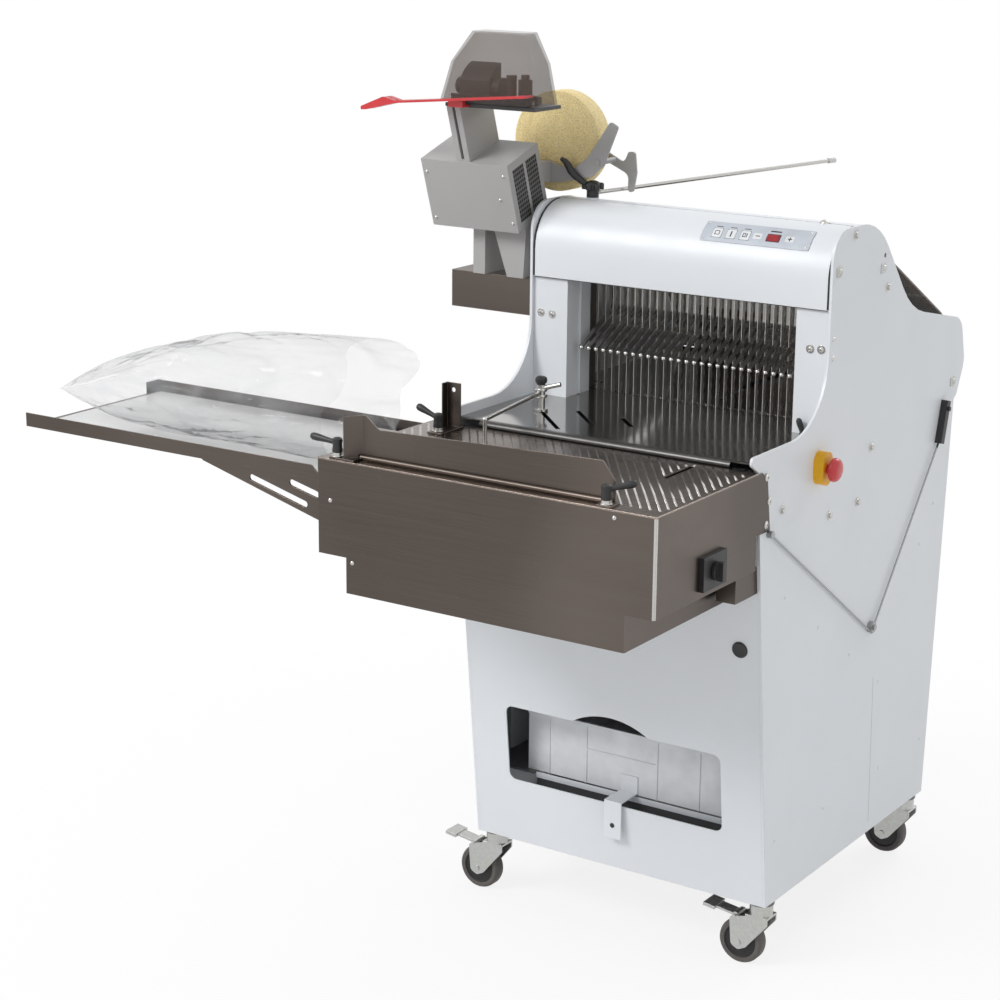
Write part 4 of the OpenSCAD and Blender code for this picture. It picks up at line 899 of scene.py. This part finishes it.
class SLICER_OT_keypad(bpy.types.Operator):
    """Make the keypad on the hood's curve, with plain keys and a lit window"""
    bl_idname = "slicer.keypad"
    bl_label = "Keypad"

    START = math.radians(33.0)
    X0, X1, TALL = 36.0, 237.0, 42.4
    # Lifts off the hood: of the face, of what lies on it, of what lies on a key, of the window
    FACE, ON_FACE, ON_KEY, WINDOW = 0.1, 0.95, 1.25, 1.15
    KEY_X, SMALL_KEY_X = (64.0, 90.0, 116.0), (139.0, 198.0)
    # Plain marks on the keys: x0, y0, x1, y1
    SQUARES = ((59.5, 13.0, 68.5, 21.5), (111.5, 13.0, 117.0, 21.5))
    BARS = ((88.8, 11.5, 91.2, 22.5), (118.5, 13.0, 120.0, 21.5), (135.0, 17.2, 143.0, 19.0),
            (194.0, 17.2, 202.0, 19.0), (197.1, 14.0, 198.9, 22.2))
    STUD_IN_X, STUD_IN_Y = 6.0, 5.0

    def angle(self, y):
        """Where on the hood's curve a height on the keypad lies."""
        return self.START + y / (HOOD_ARC_R + 1.0)

    def tile(self, shape, box, thick, round_by, lift):
        """A thin plate with round corners, X along the hood and Y up its curve, wrapped on the hood."""
        x0, y0, x1, y1 = box
        made = shape.pad(x1 - x0, y1 - y0, 2, 10, thick, round_by)
        bmesh.ops.translate(shape.bm, vec=((x0 + x1) / 2, (y0 + y1) / 2, 0), verts=made)
        for v in made:
            v.co = on_hood(v.co.x, HOOD_ARC_R + lift + v.co.z, self.angle(v.co.y))

    def outline(self, shape, box, width, thick, lift):
        """Four bars round a rectangle, a hair apart at its corners."""
        x0, y0, x1, y1 = box
        slit = 0.01
        for bar in ((x0, y0, x1, y0 + width), (x0, y1 - width, x1, y1),
                    (x0, y0 + width + slit, x0 + width, y1 - width - slit),
                    (x1 - width, y0 + width + slit, x1, y1 - width - slit)):
            self.tile(shape, bar, thick, 0.0, lift)

    def execute(self, context):
        face, keys, marks, lamp, studs = (Shape() for _ in range(5))
        self.tile(face, (self.X0, 0.0, self.X1, self.TALL), 0.9, 3.0, self.FACE)
        for x in self.KEY_X:
            self.tile(keys, (x - 8.5, 8.0, x + 8.5, 26.0), 0.35, 2.5, self.ON_FACE)
            self.outline(marks, (x - 8.9, 7.6, x + 8.9, 26.4), 0.9, 0.2, self.ON_FACE)
            self.tile(marks, (x - 6.0, 30.0, x + 6.0, 31.6), 0.12, 0.0, self.ON_FACE)
        for x in self.SMALL_KEY_X:
            self.tile(keys, (x - 8.0, 12.0, x + 8.0, 24.0), 0.35, 2.5, self.ON_FACE)
        for square in self.SQUARES:
            self.outline(marks, square, 1.3, 0.15, self.ON_KEY)
        for bar in self.BARS:
            self.tile(marks, bar, 0.15, 0.0, self.ON_KEY)
        self.tile(marks, (155.5, 9.5, 180.5, 25.5), 0.25, 1.5, self.ON_FACE)
        self.tile(lamp, (157.0, 11.0, 179.0, 24.0), 0.25, 1.0, self.WINDOW)
        self.tile(marks, (158.0, 30.0, 178.0, 33.0), 0.12, 0.8, self.ON_FACE)
        for x in (self.X0 + self.STUD_IN_X, self.X1 - self.STUD_IN_X):
            for y in (self.STUD_IN_Y, self.TALL - self.STUD_IN_Y):
                angle = self.angle(y)
                way = (0, -math.cos(angle), math.sin(angle))
                dome(studs, on_hood(x, HOOD_ARC_R + 0.9, angle), way, 2.2, 12)
        face.keep("keypad_face", "key_plastic", "hood", stands_for=["control_panel"])
        keys.keep("keypad_keys", "pale_key", "hood", "key_plastic")
        marks.keep("keypad_marks", "black_plastic", "hood")
        lamp.keep("keypad_window", "red_display", "hood", "red_plastic")
        studs.keep("keypad_studs", "bright_steel", "hood")
        return {"FINISHED"}


class SLICER_OT_panel_bolts(bpy.types.Operator):
    """Make the bolts and quarter-turn fasteners of the side panels and the fascia"""
    bl_idname = "slicer.panel_bolts"
    bl_label = "Panel Bolts"

    BOLTS = ((-88, 1224), (12, 850), (-314, 811), (-140, 764), (-33, 763), (47, 1120))
    LATCHES = ((-142, 1171), (27, 1155), (350, 905))
    EDGE = ((-153, 1062), (-153, 1030))
    FASCIA = ((-270, 1046), (-247, 1045), (252, 1043), (272, 1044))

    def execute(self, context):
        radius = context.scene.slicer_sizes.bolt_head / MM
        bolts, latches = Shape(), Shape()
        for side in (-1, 1):
            way = (side, 0, 0)
            for y, z in self.BOLTS:
                hex_bolt(bolts, (side * PANEL_X, y, z), way, radius * 0.9)
            for y, z in self.EDGE:
                dome(bolts, (side * PANEL_X, y, z), way, radius * 0.7)
            for y, z in self.LATCHES:
                self.latch(latches, side, y, z, radius)
        for x, z in self.FASCIA:
            socket_bolt(bolts, (x, FASCIA_Y, z), FRONT, radius * 0.8)
        bolts.keep("panel_bolts", "bright_steel", "cabinet")
        latches.keep("panel_latches", "zinc", "cabinet")
        return {"FINISHED"}

    @staticmethod
    def latch(shape, side, y, z, radius):
        """A half-moon washer under a round head."""
        x = side * PANEL_X
        shape.lathe([(0, 1.6), (radius * 1.3, 1.6), (radius * 1.45, 1.2), (radius * 1.45, -0.3), (0, -0.3)],
                    (x, y, z), (side, 0, 0), 20)
        low = (min(x - 0.2, x + side * 1.4), y - radius * 1.9, z - radius * 1.3)
        high = (max(x - 0.2, x + side * 1.4), y, z + radius * 1.3)
        shape.block(low, high, 0.5)
        dome(shape, (x + side * 1.6, y, z), (side, 0, 0), radius * 0.85)


class SLICER_OT_panel_rivets(bpy.types.Operator):
    """Make the rivets of the side panels"""
    bl_idname = "slicer.panel_rivets"
    bl_label = "Panel Rivets"

    RIVETS = ((-290, 658), (-162, 573), (-35, 490), (92, 404), (291, 234), (112, 234), (-110, 232),
              (-292, 233), (292, 689), (239, 624))

    def execute(self, context):
        radius = context.scene.slicer_sizes.rivet_head / MM
        shape = Shape()
        for side in (-1, 1):
            for y, z in self.RIVETS:
                dome(shape, (side * PANEL_X, y, z), (side, 0, 0), radius, 14)
        shape.keep("panel_rivets", "white_paint", "cabinet")
        return {"FINISHED"}


class SLICER_OT_bench_screws(bpy.types.Operator):
    """Make the screws of the bench box and the bolts of its flange"""
    bl_idname = "slicer.bench_screws"
    bl_label = "Bench Screws"

    SCREWS, SCREW_R = ((-306, 822), (-263, 725), (220, 878)), 4.0
    BOLTS, BOLT_R = ((-374, 878), (-363, 837), (-371, 800)), 4.2

    def execute(self, context):
        shape = Shape()
        for x, z in self.SCREWS:
            dome(shape, (x, BOX_FRONT_Y, z), FRONT, self.SCREW_R)
        for y, z in self.BOLTS:
            socket_bolt(shape, (FLANGE_X, y, z), RIGHT, self.BOLT_R)
        shape.keep("bench_screws", "bright_steel", "cabinet")
        return {"FINISHED"}


class SLICER_OT_plate_ribs(bpy.types.Operator):
    """Roll the slanting ribs of the slide plate"""
    bl_idname = "slicer.plate_ribs"
    bl_label = "Plate Ribs"

    LOW, HIGH = Vector((-322.0, -686.0)), Vector((284.0, -408.0))
    SLOT_LOW, SLOT_HIGH = Vector((178.0, -516.0)), Vector((194.0, -417.0))
    WAY = Vector((129.0, -180.0)).normalized()
    HALF_WIDE, FOOT, SHORTEST = 1.7, 0.2, 8.0

    def span(self, start, low, high):
        """Where a line from start along the ribs' way enters and leaves a rectangle."""
        ends = [sorted(((a - p) / w, (b - p) / w)) for a, b, p, w in zip(low, high, start, self.WAY)]
        return max(e[0] for e in ends), min(e[1] for e in ends)

    def execute(self, context):
        sizes = context.scene.slicer_sizes
        pitch, high = sizes.rib_pitch / MM, sizes.rib_height / MM
        across = Vector((-self.WAY.y, self.WAY.x))
        reach = (self.HIGH - self.LOW).length
        shape = Shape()
        for k in range(-int(reach / pitch), int(reach / pitch) + 1):
            start = (self.LOW + self.HIGH) / 2 + across * pitch * k
            near, far = self.span(start, self.LOW, self.HIGH)
            cut = self.span(start, self.SLOT_LOW, self.SLOT_HIGH)
            runs = [(near, cut[0]), (cut[1], far)] if cut[0] < cut[1] else [(near, far)]
            for a, b in runs:
                if b - a > self.SHORTEST:
                    self.rib(shape, start + self.WAY * a, start + self.WAY * b, high)
        shape.keep("plate_ribs", "bright_steel", "cabinet", "stainless", sharp=180.0)
        return {"FINISHED"}

    def rib(self, shape, start, end, high):
        """A low rounded ridge between two points of the plate."""
        made = shape.pad(2.0, 2.0, 1, 6, 1.0)
        for v in made:
            v.co.z = (1.0 - v.co.y ** 2) * high if v.co.z > 0.5 else -self.FOOT
        run = end - start
        bmesh.ops.scale(shape.bm, vec=(run.length / 2, self.HALF_WIDE, 1.0), verts=made)
        turn = Matrix.Rotation(math.atan2(run.y, run.x), 4, "Z")
        middle = Matrix.Translation((*(start + end) / 2, PLATE_Z + 0.02))
        bmesh.ops.transform(shape.bm, matrix=middle @ turn, verts=made)


class SLICER_OT_levers(bpy.types.Operator):
    """Make the clamp levers of the guides with their grips and nuts"""
    bl_idname = "slicer.levers"
    bl_label = "Levers"

    BASE_Z, ARM_Z = 893.7, 22.0
    # node, body, place, grip's length, rise and turn
    LEVERS = (
        ("guide_lever_left", "left_lever", (-298.0, -707.0), 47.0, 4.0, 180.0),
        ("guide_lever_right", "right_lever", (200.0, -707.0), 40.0, 10.0, 30.0),
        ("post_lever", "post_clamp", (-267.0, -475.0), 38.0, 14.0, 180.0))
    # The hub from its foot up, then down its bore
    HUB = ((4.4, 7.0), (8.0, 7.0), (8.6, 9.0), (8.0, 14.0), (7.6, 20.0), (8.4, 25.0), (7.8, 28.6),
           (5.0, 30.6), (0.0, 31.0), (0.0, 19.8), (4.4, 19.8), (4.4, 7.0))
    NUT = ((4.5, 0.3), (10.0, 0.3), (10.2, 1.2), (10.0, 1.9), (8.2, 2.0), (8.0, 6.6), (4.5, 6.6), (4.5, 0.3))
    ARM, ARM_R = (0.12, 0.35, 0.6, 0.85, 1.0, 1.09, 1.13), (4.4, 4.2, 5.0, 6.0, 6.2, 4.6, 1.6)

    def execute(self, context):
        for node, body, spot, long, rise, turn in self.LEVERS:
            angle = math.radians(turn)
            way = Vector((math.cos(angle) * long, math.sin(angle) * long, rise))
            base = Vector((*spot, self.BASE_Z))
            root = base + Vector((0, 0, self.ARM_Z))
            grip = Shape().lathe(self.HUB, base, UP, 28)
            grip.tube([root + way * t for t in self.ARM], self.ARM_R, 16)
            grip.keep(f"{node}_grip", "black_plastic", body, stands_for=[node], sharp=40.0)
            Shape().lathe(self.NUT, base, UP, 24).keep(f"{node}_nut", "bright_steel", body)
        return {"FINISHED"}


class SLICER_OT_closer_trim(bpy.types.Operator):
    """Make the closer's screws, vents, stay knob and hook"""
    bl_idname = "slicer.closer_trim"
    bl_label = "Closer Trim"

    CORNER, WIDE = (-486.0, -180.0, 1183.0), 181.0
    SCREWS = ((8, 103), (169, 106), (154, 61), (9, 15), (172, 18))
    VENTS = ((13.0, 15.0, 47.0, 112.0), (55.0, 15.0, 89.0, 112.0))
    STEM = Vector((-229.0, -62.0, 1240.4))
    KNOB = ((0, 29.0), (6, 28.6), (10, 27.0), (13.4, 24.4), (13.4, 14.0), (11, 13.7), (0, 13.7))
    COLLAR = ((9.3, 0.4), (10.8, 0.4), (10.8, 13.2), (9.3, 13.2), (9.3, 0.4))
    LOBE = ((0, 25.4), (3.4, 25.2), (5.0, 24.2), (5.6, 22.6), (5.6, 14.4), (4.8, 13.7), (0, 13.7))
    LOBES, LOBE_OUT = 6, 14.0
    HOOK = ((-238, -72, 1264), (-246, -76, 1270), (-256, -78, 1277), (-264, -79, 1285), (-269, -80, 1294),
            (-276, -80, 1301), (-284, -80, 1305))
    HOOK_R = (5.2, 5.8, 6.6, 6.8, 6.2, 5.2, 3.4)

    def execute(self, context):
        housing = Matrix.Translation(self.CORNER) @ Matrix.Rotation(CLOSER_LEAN, 4, "X")
        out = housing.to_3x3() @ Vector(FRONT)
        screws, vents, knob = Shape(), Shape(), Shape()
        for x, z in self.SCREWS:
            dome(screws, housing @ Vector((x, 0, z)), out, 3.6, 14)
        for y0, z0, y1, z1 in self.VENTS:
            vents.block((self.WIDE - 0.2, y0, z0), (self.WIDE + 0.4, y1, z1), 0.2, 1, housing)
        knob.lathe(self.KNOB, self.STEM, UP, 36)
        knob.lathe(self.COLLAR, self.STEM, UP, 28)
        for k in range(self.LOBES):
            a = math.tau * (k + 0.5) / self.LOBES
            knob.lathe(self.LOBE, self.STEM + self.LOBE_OUT * Vector((math.cos(a), math.sin(a), 0)), UP, 16)
        knob.tube(self.HOOK, self.HOOK_R, 14)
        screws.keep("closer_screws", "bright_steel", "cabinet")
        vents.keep("closer_vents", "vent_mesh", "cabinet", "black_plastic")
        knob.keep("stay_knob", "black_plastic", "stay", sharp=40.0)
        return {"FINISHED"}


class SLICER_OT_hood_trim(bpy.types.Operator):
    """Make the dark strips that paint the shadow lines at the hood's edges, the comb's bright tips that paint
    its glints and the cabinet's small trims
    """
    bl_idname = "slicer.hood_trim"
    bl_label = "Hood Trim"

    # Black rubber strips along the hood's sides and bottom edge paint the shadow lines in the gaps round the
    # hood.
    SEAL_IN, SEAL_OUT, SEAL_THICK = 281.0, 284.0, 0.6
    # The finger tips are rounded caps in steel brighter than the comb, a painted highlight for the row of
    # glints along them.
    FINGERS, PITCH, THROAT_MID, TIP = 28, 15.0, 4.5, (-140.0, 989.0)
    TIP_ROUND = ((0, 4.4), (2.6, 3.6), (4.0, 1.6), (4.2, 0), (4.0, -1.6), (2.6, -3.6), (0, -4.4))
    # piece, finish, body, low and high corner, rounding and its segments
    TRIMS = (
        ("cheek_edge", "white_paint", "cabinet", (-216.4, -123.0, 901.0), (-211.5, -118.5, 1108.0), 1.6, 3),
        ("bin_sill", "white_paint", "cabinet", (-187.0, -285.0, 236.5), (187.0, -283.2, 247.2), 0.6, 2),
        # A dark strip behind the sill paints the shade in the gap between the bin and the panel.
        ("bin_apron", "dark_paint", "cabinet", (-187.0, -282.9, 206.0), (187.0, -281.4, 247.2), 0.4, 1),
        ("cover_lip", "belt_rubber", "infeed_cover", (-282.0, 365.2, 901.2), (282.0, 370.2, 911.0), 1.4, 3))
    LOCK = ((0, 0.7), (2.4, 0.8), (3.8, 1.3), (4.4, 0.6), (4.4, -0.4), (0, -0.4))
    LOCK_SPOT = (2, -335.7, 208)
    CLAMP = ((0, 11.0), (5.0, 10.6), (7.6, 8.6), (8.2, 3.0), (7.4, -0.3), (0, -0.3))
    CLAMP_SPOT = (250, FASCIA_Y, 900)
    CLAMP_ARM = ((250, -166, 900), (247, -168, 909), (244, -170, 919), (242, -171, 925), (241, -171, 928))
    CLAMP_ARM_R = (4.2, 4.6, 5.4, 4.6, 2.0)

    def execute(self, context):
        # Painted shade: the dark strips stand for the shadow lines at the hood's edges.
        seal, tips = Shape(), Shape()
        for side in (-1, 1):
            low, high = sorted((side * self.SEAL_IN, side * self.SEAL_OUT))
            seal.block((low, -165.7, 1111.0), (high, -164.6, 1157.5), 0.2, 1)
            for v in seal.pad(high - low, 1.0, 1, 20, self.SEAL_THICK):
                angle = math.radians(90.0 * (v.co.y + 0.5))
                v.co = on_hood((low + high) / 2 + v.co.x, HOOD_ARC_R - 0.1 + v.co.z, angle)
        seal.block((-282.0, -165.0, 1108.9), (282.0, -163.0, 1110.2), 0.3, 1)
        seal.keep("hood_seal", "belt_rubber", "hood", sharp=60.0)
        # Painted highlight: the tips' brighter steel makes the glinting row.
        for k in range(self.FINGERS):
            x = self.THROAT_MID + (k - (self.FINGERS - 1) / 2) * self.PITCH
            tips.lathe(self.TIP_ROUND, (x, *self.TIP), RIGHT, 12)
        tips.keep("comb_tips", "bright_steel", "comb", sharp=180.0)
        for piece, finish, body, low, high, round_by, segments in self.TRIMS:
            Shape().block(low, high, round_by, segments).keep(piece, finish, body)
        Shape().lathe(self.LOCK, self.LOCK_SPOT, FRONT, 20).keep("tab_lock", "black_plastic", "bin")
        clamp = Shape().lathe(self.CLAMP, self.CLAMP_SPOT, FRONT, 24)
        clamp.tube(self.CLAMP_ARM, self.CLAMP_ARM_R, 14)
        clamp.keep("fascia_clamp", "black_plastic", "cabinet", sharp=40.0)
        return {"FINISHED"}


class SLICER_OT_bench_trim(bpy.types.Operator):
    """Make the bright steel bead that paints the highlight on the bench box's corner, the rod stop's knob and
    collars and the side panel's seam
    """
    bl_idname = "slicer.bench_trim"
    bl_label = "Bench Trim"

    # A bright steel bead on the stainless box's corner paints the highlight along that corner.
    BEAD = ((0, 0), (2.8, 0.4), (3.2, 2.0), (3.2, 153.0), (2.8, 155.0), (0, 155.4))
    BEAD_IN, BEAD_Z = 2.3, 732.4
    ROD_SPOT, KNOB_Z, COLLAR_Z = (-196, -272), 947.0, (924.0, 934.5)
    KNOB = ((0, 14.0), (6.0, 13.4), (9.6, 11.0), (10.6, 7.0), (9.8, 3.0), (7.6, 1.0), (7.2, -1.0), (0, -1.0))
    COLLAR = ((7.2, 0), (10.4, 0.4), (10.8, 1.4), (10.8, 4.0), (10.4, 5.0), (7.2, 5.4), (7.2, 0))
    SEAM_TOP, SEAM_FOOT = Vector((PANEL_X, 70.0, 418.0)), Vector((PANEL_X, 81.0, 140.0))

    def execute(self, context):
        # Painted highlight on the box's corner.
        corner = (FLANGE_X - self.BEAD_IN, BOX_FRONT_Y + self.BEAD_IN, self.BEAD_Z)
        Shape().lathe(self.BEAD, corner, UP, 20).keep(
            "bench_bead", "bright_steel", "cabinet", "stainless", sharp=60.0)
        Shape().lathe(self.KNOB, (*self.ROD_SPOT, self.KNOB_Z), UP, 28).keep(
            "rod_stop_knob", "black_plastic", "rod_stop", sharp=40.0)
        collars = Shape()
        for z in self.COLLAR_Z:
            collars.lathe(self.COLLAR, (*self.ROD_SPOT, z), UP, 28)
        collars.keep("rod_stop_collars", "bright_steel", "rod_stop")
        run = self.SEAM_TOP - self.SEAM_FOOT
        along = Matrix.Translation(self.SEAM_FOOT) @ Matrix.Rotation(math.atan2(-run.y, run.z), 4, "X")
        Shape().block((-0.2, -0.5, 0.0), (0.12, 0.5, run.length), matrix=along).keep(
            "panel_seam", "grey_paint", "cabinet")
        return {"FINISHED"}


class SLICER_OT_wheels(bpy.types.Operator):
    """Make the four caster wheels with their treads and hubs"""
    bl_idname = "slicer.wheels"
    bl_label = "Wheels"

    def execute(self, context):
        soft = context.scene.slicer_sizes.tread_round / MM
        for place in ("fl", "fr", "rl", "rr"):
            node, body = f"caster_wheel_{place}", f"wheel_{place}"
            centre, r, w = disc(node)
            tread = [(r - 10.0, -w + 1.2), (r - 4.0, -w + 0.4), (r - 1.2, -w + soft * 0.45), (r, -w + soft)]
            hub = [(6.6, -w), (13.0, -w), (14.5, -w + 2.6), (r - 12.5, -w + 3.2), (r - 11.0, -w + 1.4),
                   (r - 9.6, -w + 1.4)]
            tyre, middle = ([*half, *((a, -b) for a, b in reversed(half)), half[0]] for half in (tread, hub))
            Shape().lathe(tyre, centre, BACK, 56).keep(
                f"tyre_{place}", "wheel_rubber", body, stands_for=[node], sharp=40.0)
            Shape().lathe(middle, centre, BACK, 48).keep(
                f"hub_{place}", "hub_plastic", body, "wheel_rubber", sharp=40.0)
        return {"FINISHED"}


class SLICER_OT_stop_button(bpy.types.Operator):
    """Make the emergency stop's mushroom head"""
    bl_idname = "slicer.stop_button"
    bl_label = "Stop Button"

    HEAD = ((0, 0), (8.0, 0), (8.0, 14.0), (11.0, 15.0), (18.2, 15.2), (19.6, 16.4), (20.0, 18.5),
            (19.6, 22.0), (18.0, 25.0), (15.0, 27.3), (10.0, 28.6), (5.0, 29.0), (0, 29.0))

    def execute(self, context):
        low, high = (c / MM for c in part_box("estop_button"))
        spot = (low.x, (low.y + high.y) / 2, (low.z + high.z) / 2)
        Shape().lathe(self.HEAD, spot, RIGHT, 48).keep(
            "stop_head", "red_plastic", "stop_head", stands_for=["estop_button"], sharp=40.0)
        return {"FINISHED"}


class SLICER_OT_tape_reel(bpy.types.Operator):
    """Wind the closing tape on its core"""
    bl_idname = "slicer.tape_reel"
    bl_label = "Tape Reel"

    RECESS, RECESS_DEEP, BORE, BORE_END, TURNS = 36.6, 4.2, 10.4, 6.6, 26

    def execute(self, context):
        centre, r, w = disc("tape_reel")
        side, step = [], (r - 1.0) / self.TURNS
        for k in range(self.TURNS):
            wander = 0.2 * math.sin(k * 2.3) + 0.16 * math.sin(k * 0.9)
            side += [(step * k, -w + 1.0), (step * (k + 0.25), -w + 0.55 + wander),
                     (step * (k + 0.75), -w + 0.55 + wander)]
        front = [*side, (r - 0.5, -w + 1.2), (r, -w + 3.0)]
        back = [(a, -b) for a, b in reversed(front) if a > self.RECESS]
        bore = [(self.RECESS, w - self.RECESS_DEEP), (self.BORE, w - self.RECESS_DEEP),
                (self.BORE, -w + self.BORE_END), (0, -w + self.BORE_END)]
        Shape().lathe([*front, *back, *bore], centre, BACK, 72).keep(
            "tape_winding", "reel_paper", "reel", stands_for=["tape_reel"], sharp=50.0)
        return {"FINISHED"}


class SLICER_OT_panel_plugs(bpy.types.Operator):
    """Make the black plug of the front panel and the hood's bumper"""
    bl_idname = "slicer.panel_plugs"
    bl_label = "Panel Plugs"

    # The front panel's foot and lean, and the plug's place on it
    FOOT_Y, FOOT_Z, LEAN = -315.0, 122.0, math.radians(6.2)
    PLUG_X, PLUG_Z = 251.0, 583.0
    PLUG = ((0, 1.8), (9.5, 2.2), (11.5, 3.0), (13.4, 2.2), (14.0, 0.8), (14.0, -0.5), (0, -0.5))
    BUMPER, BUMPER_R = (228, -78, 1238), 8.0

    def execute(self, context):
        y = self.FOOT_Y - (self.PLUG_Z - self.FOOT_Z) * math.tan(self.LEAN)
        way = (0, -math.cos(self.LEAN), -math.sin(self.LEAN))
        Shape().lathe(self.PLUG, (self.PLUG_X, y, self.PLUG_Z), way, 36).keep(
            "front_plug", "black_plastic", "cabinet", sharp=40.0)
        bumper = Shape()
        dome(bumper, self.BUMPER, UP, self.BUMPER_R, 24)
        bumper.keep("hood_bumper", "bright_steel", "hood")
        return {"FINISHED"}


class SLICER_PT_panel(bpy.types.Panel):
    """Lists the slicer's operators and settings"""
    bl_idname = "SLICER_PT_panel"
    bl_label = "Bread Slicer"
    bl_space_type = "VIEW_3D"
    bl_region_type = "UI"
    bl_category = "Slicer"

    def draw(self, context):
        for operator in OPERATORS:
            self.layout.operator(operator.bl_idname)
        for group in (context.scene.slicer_colours, context.scene.slicer_sizes, context.scene.slicer_stage):
            box = self.layout.box()
            for key in group.__annotations__:
                box.prop(group, key)


GROUPS = {"slicer_colours": SlicerColours, "slicer_sizes": SlicerSizes, "slicer_stage": SlicerStage}
OPERATORS = (
    SLICER_OT_stage, SLICER_OT_finishes, SLICER_OT_open_bag, SLICER_OT_spare_bags, SLICER_OT_keypad,
    SLICER_OT_panel_bolts, SLICER_OT_panel_rivets, SLICER_OT_bench_screws, SLICER_OT_plate_ribs,
    SLICER_OT_levers, SLICER_OT_closer_trim, SLICER_OT_hood_trim, SLICER_OT_bench_trim,
    SLICER_OT_wheels, SLICER_OT_stop_button, SLICER_OT_tape_reel, SLICER_OT_panel_plugs)


def register():
    for made in (*GROUPS.values(), *OPERATORS, SLICER_PT_panel):
        bpy.utils.register_class(made)
    for key, group in GROUPS.items():
        setattr(bpy.types.Scene, key, bpy.props.PointerProperty(type=group))


def unregister():
    for key in GROUPS:
        delattr(bpy.types.Scene, key)
    for made in reversed((*GROUPS.values(), *OPERATORS, SLICER_PT_panel)):
        bpy.utils.unregister_class(made)


def main():
    register()
    for operator in OPERATORS:
        family, name = operator.bl_idname.split(".")
        getattr(getattr(bpy.ops, family), name)()


if __name__ == "__main__":
    main()
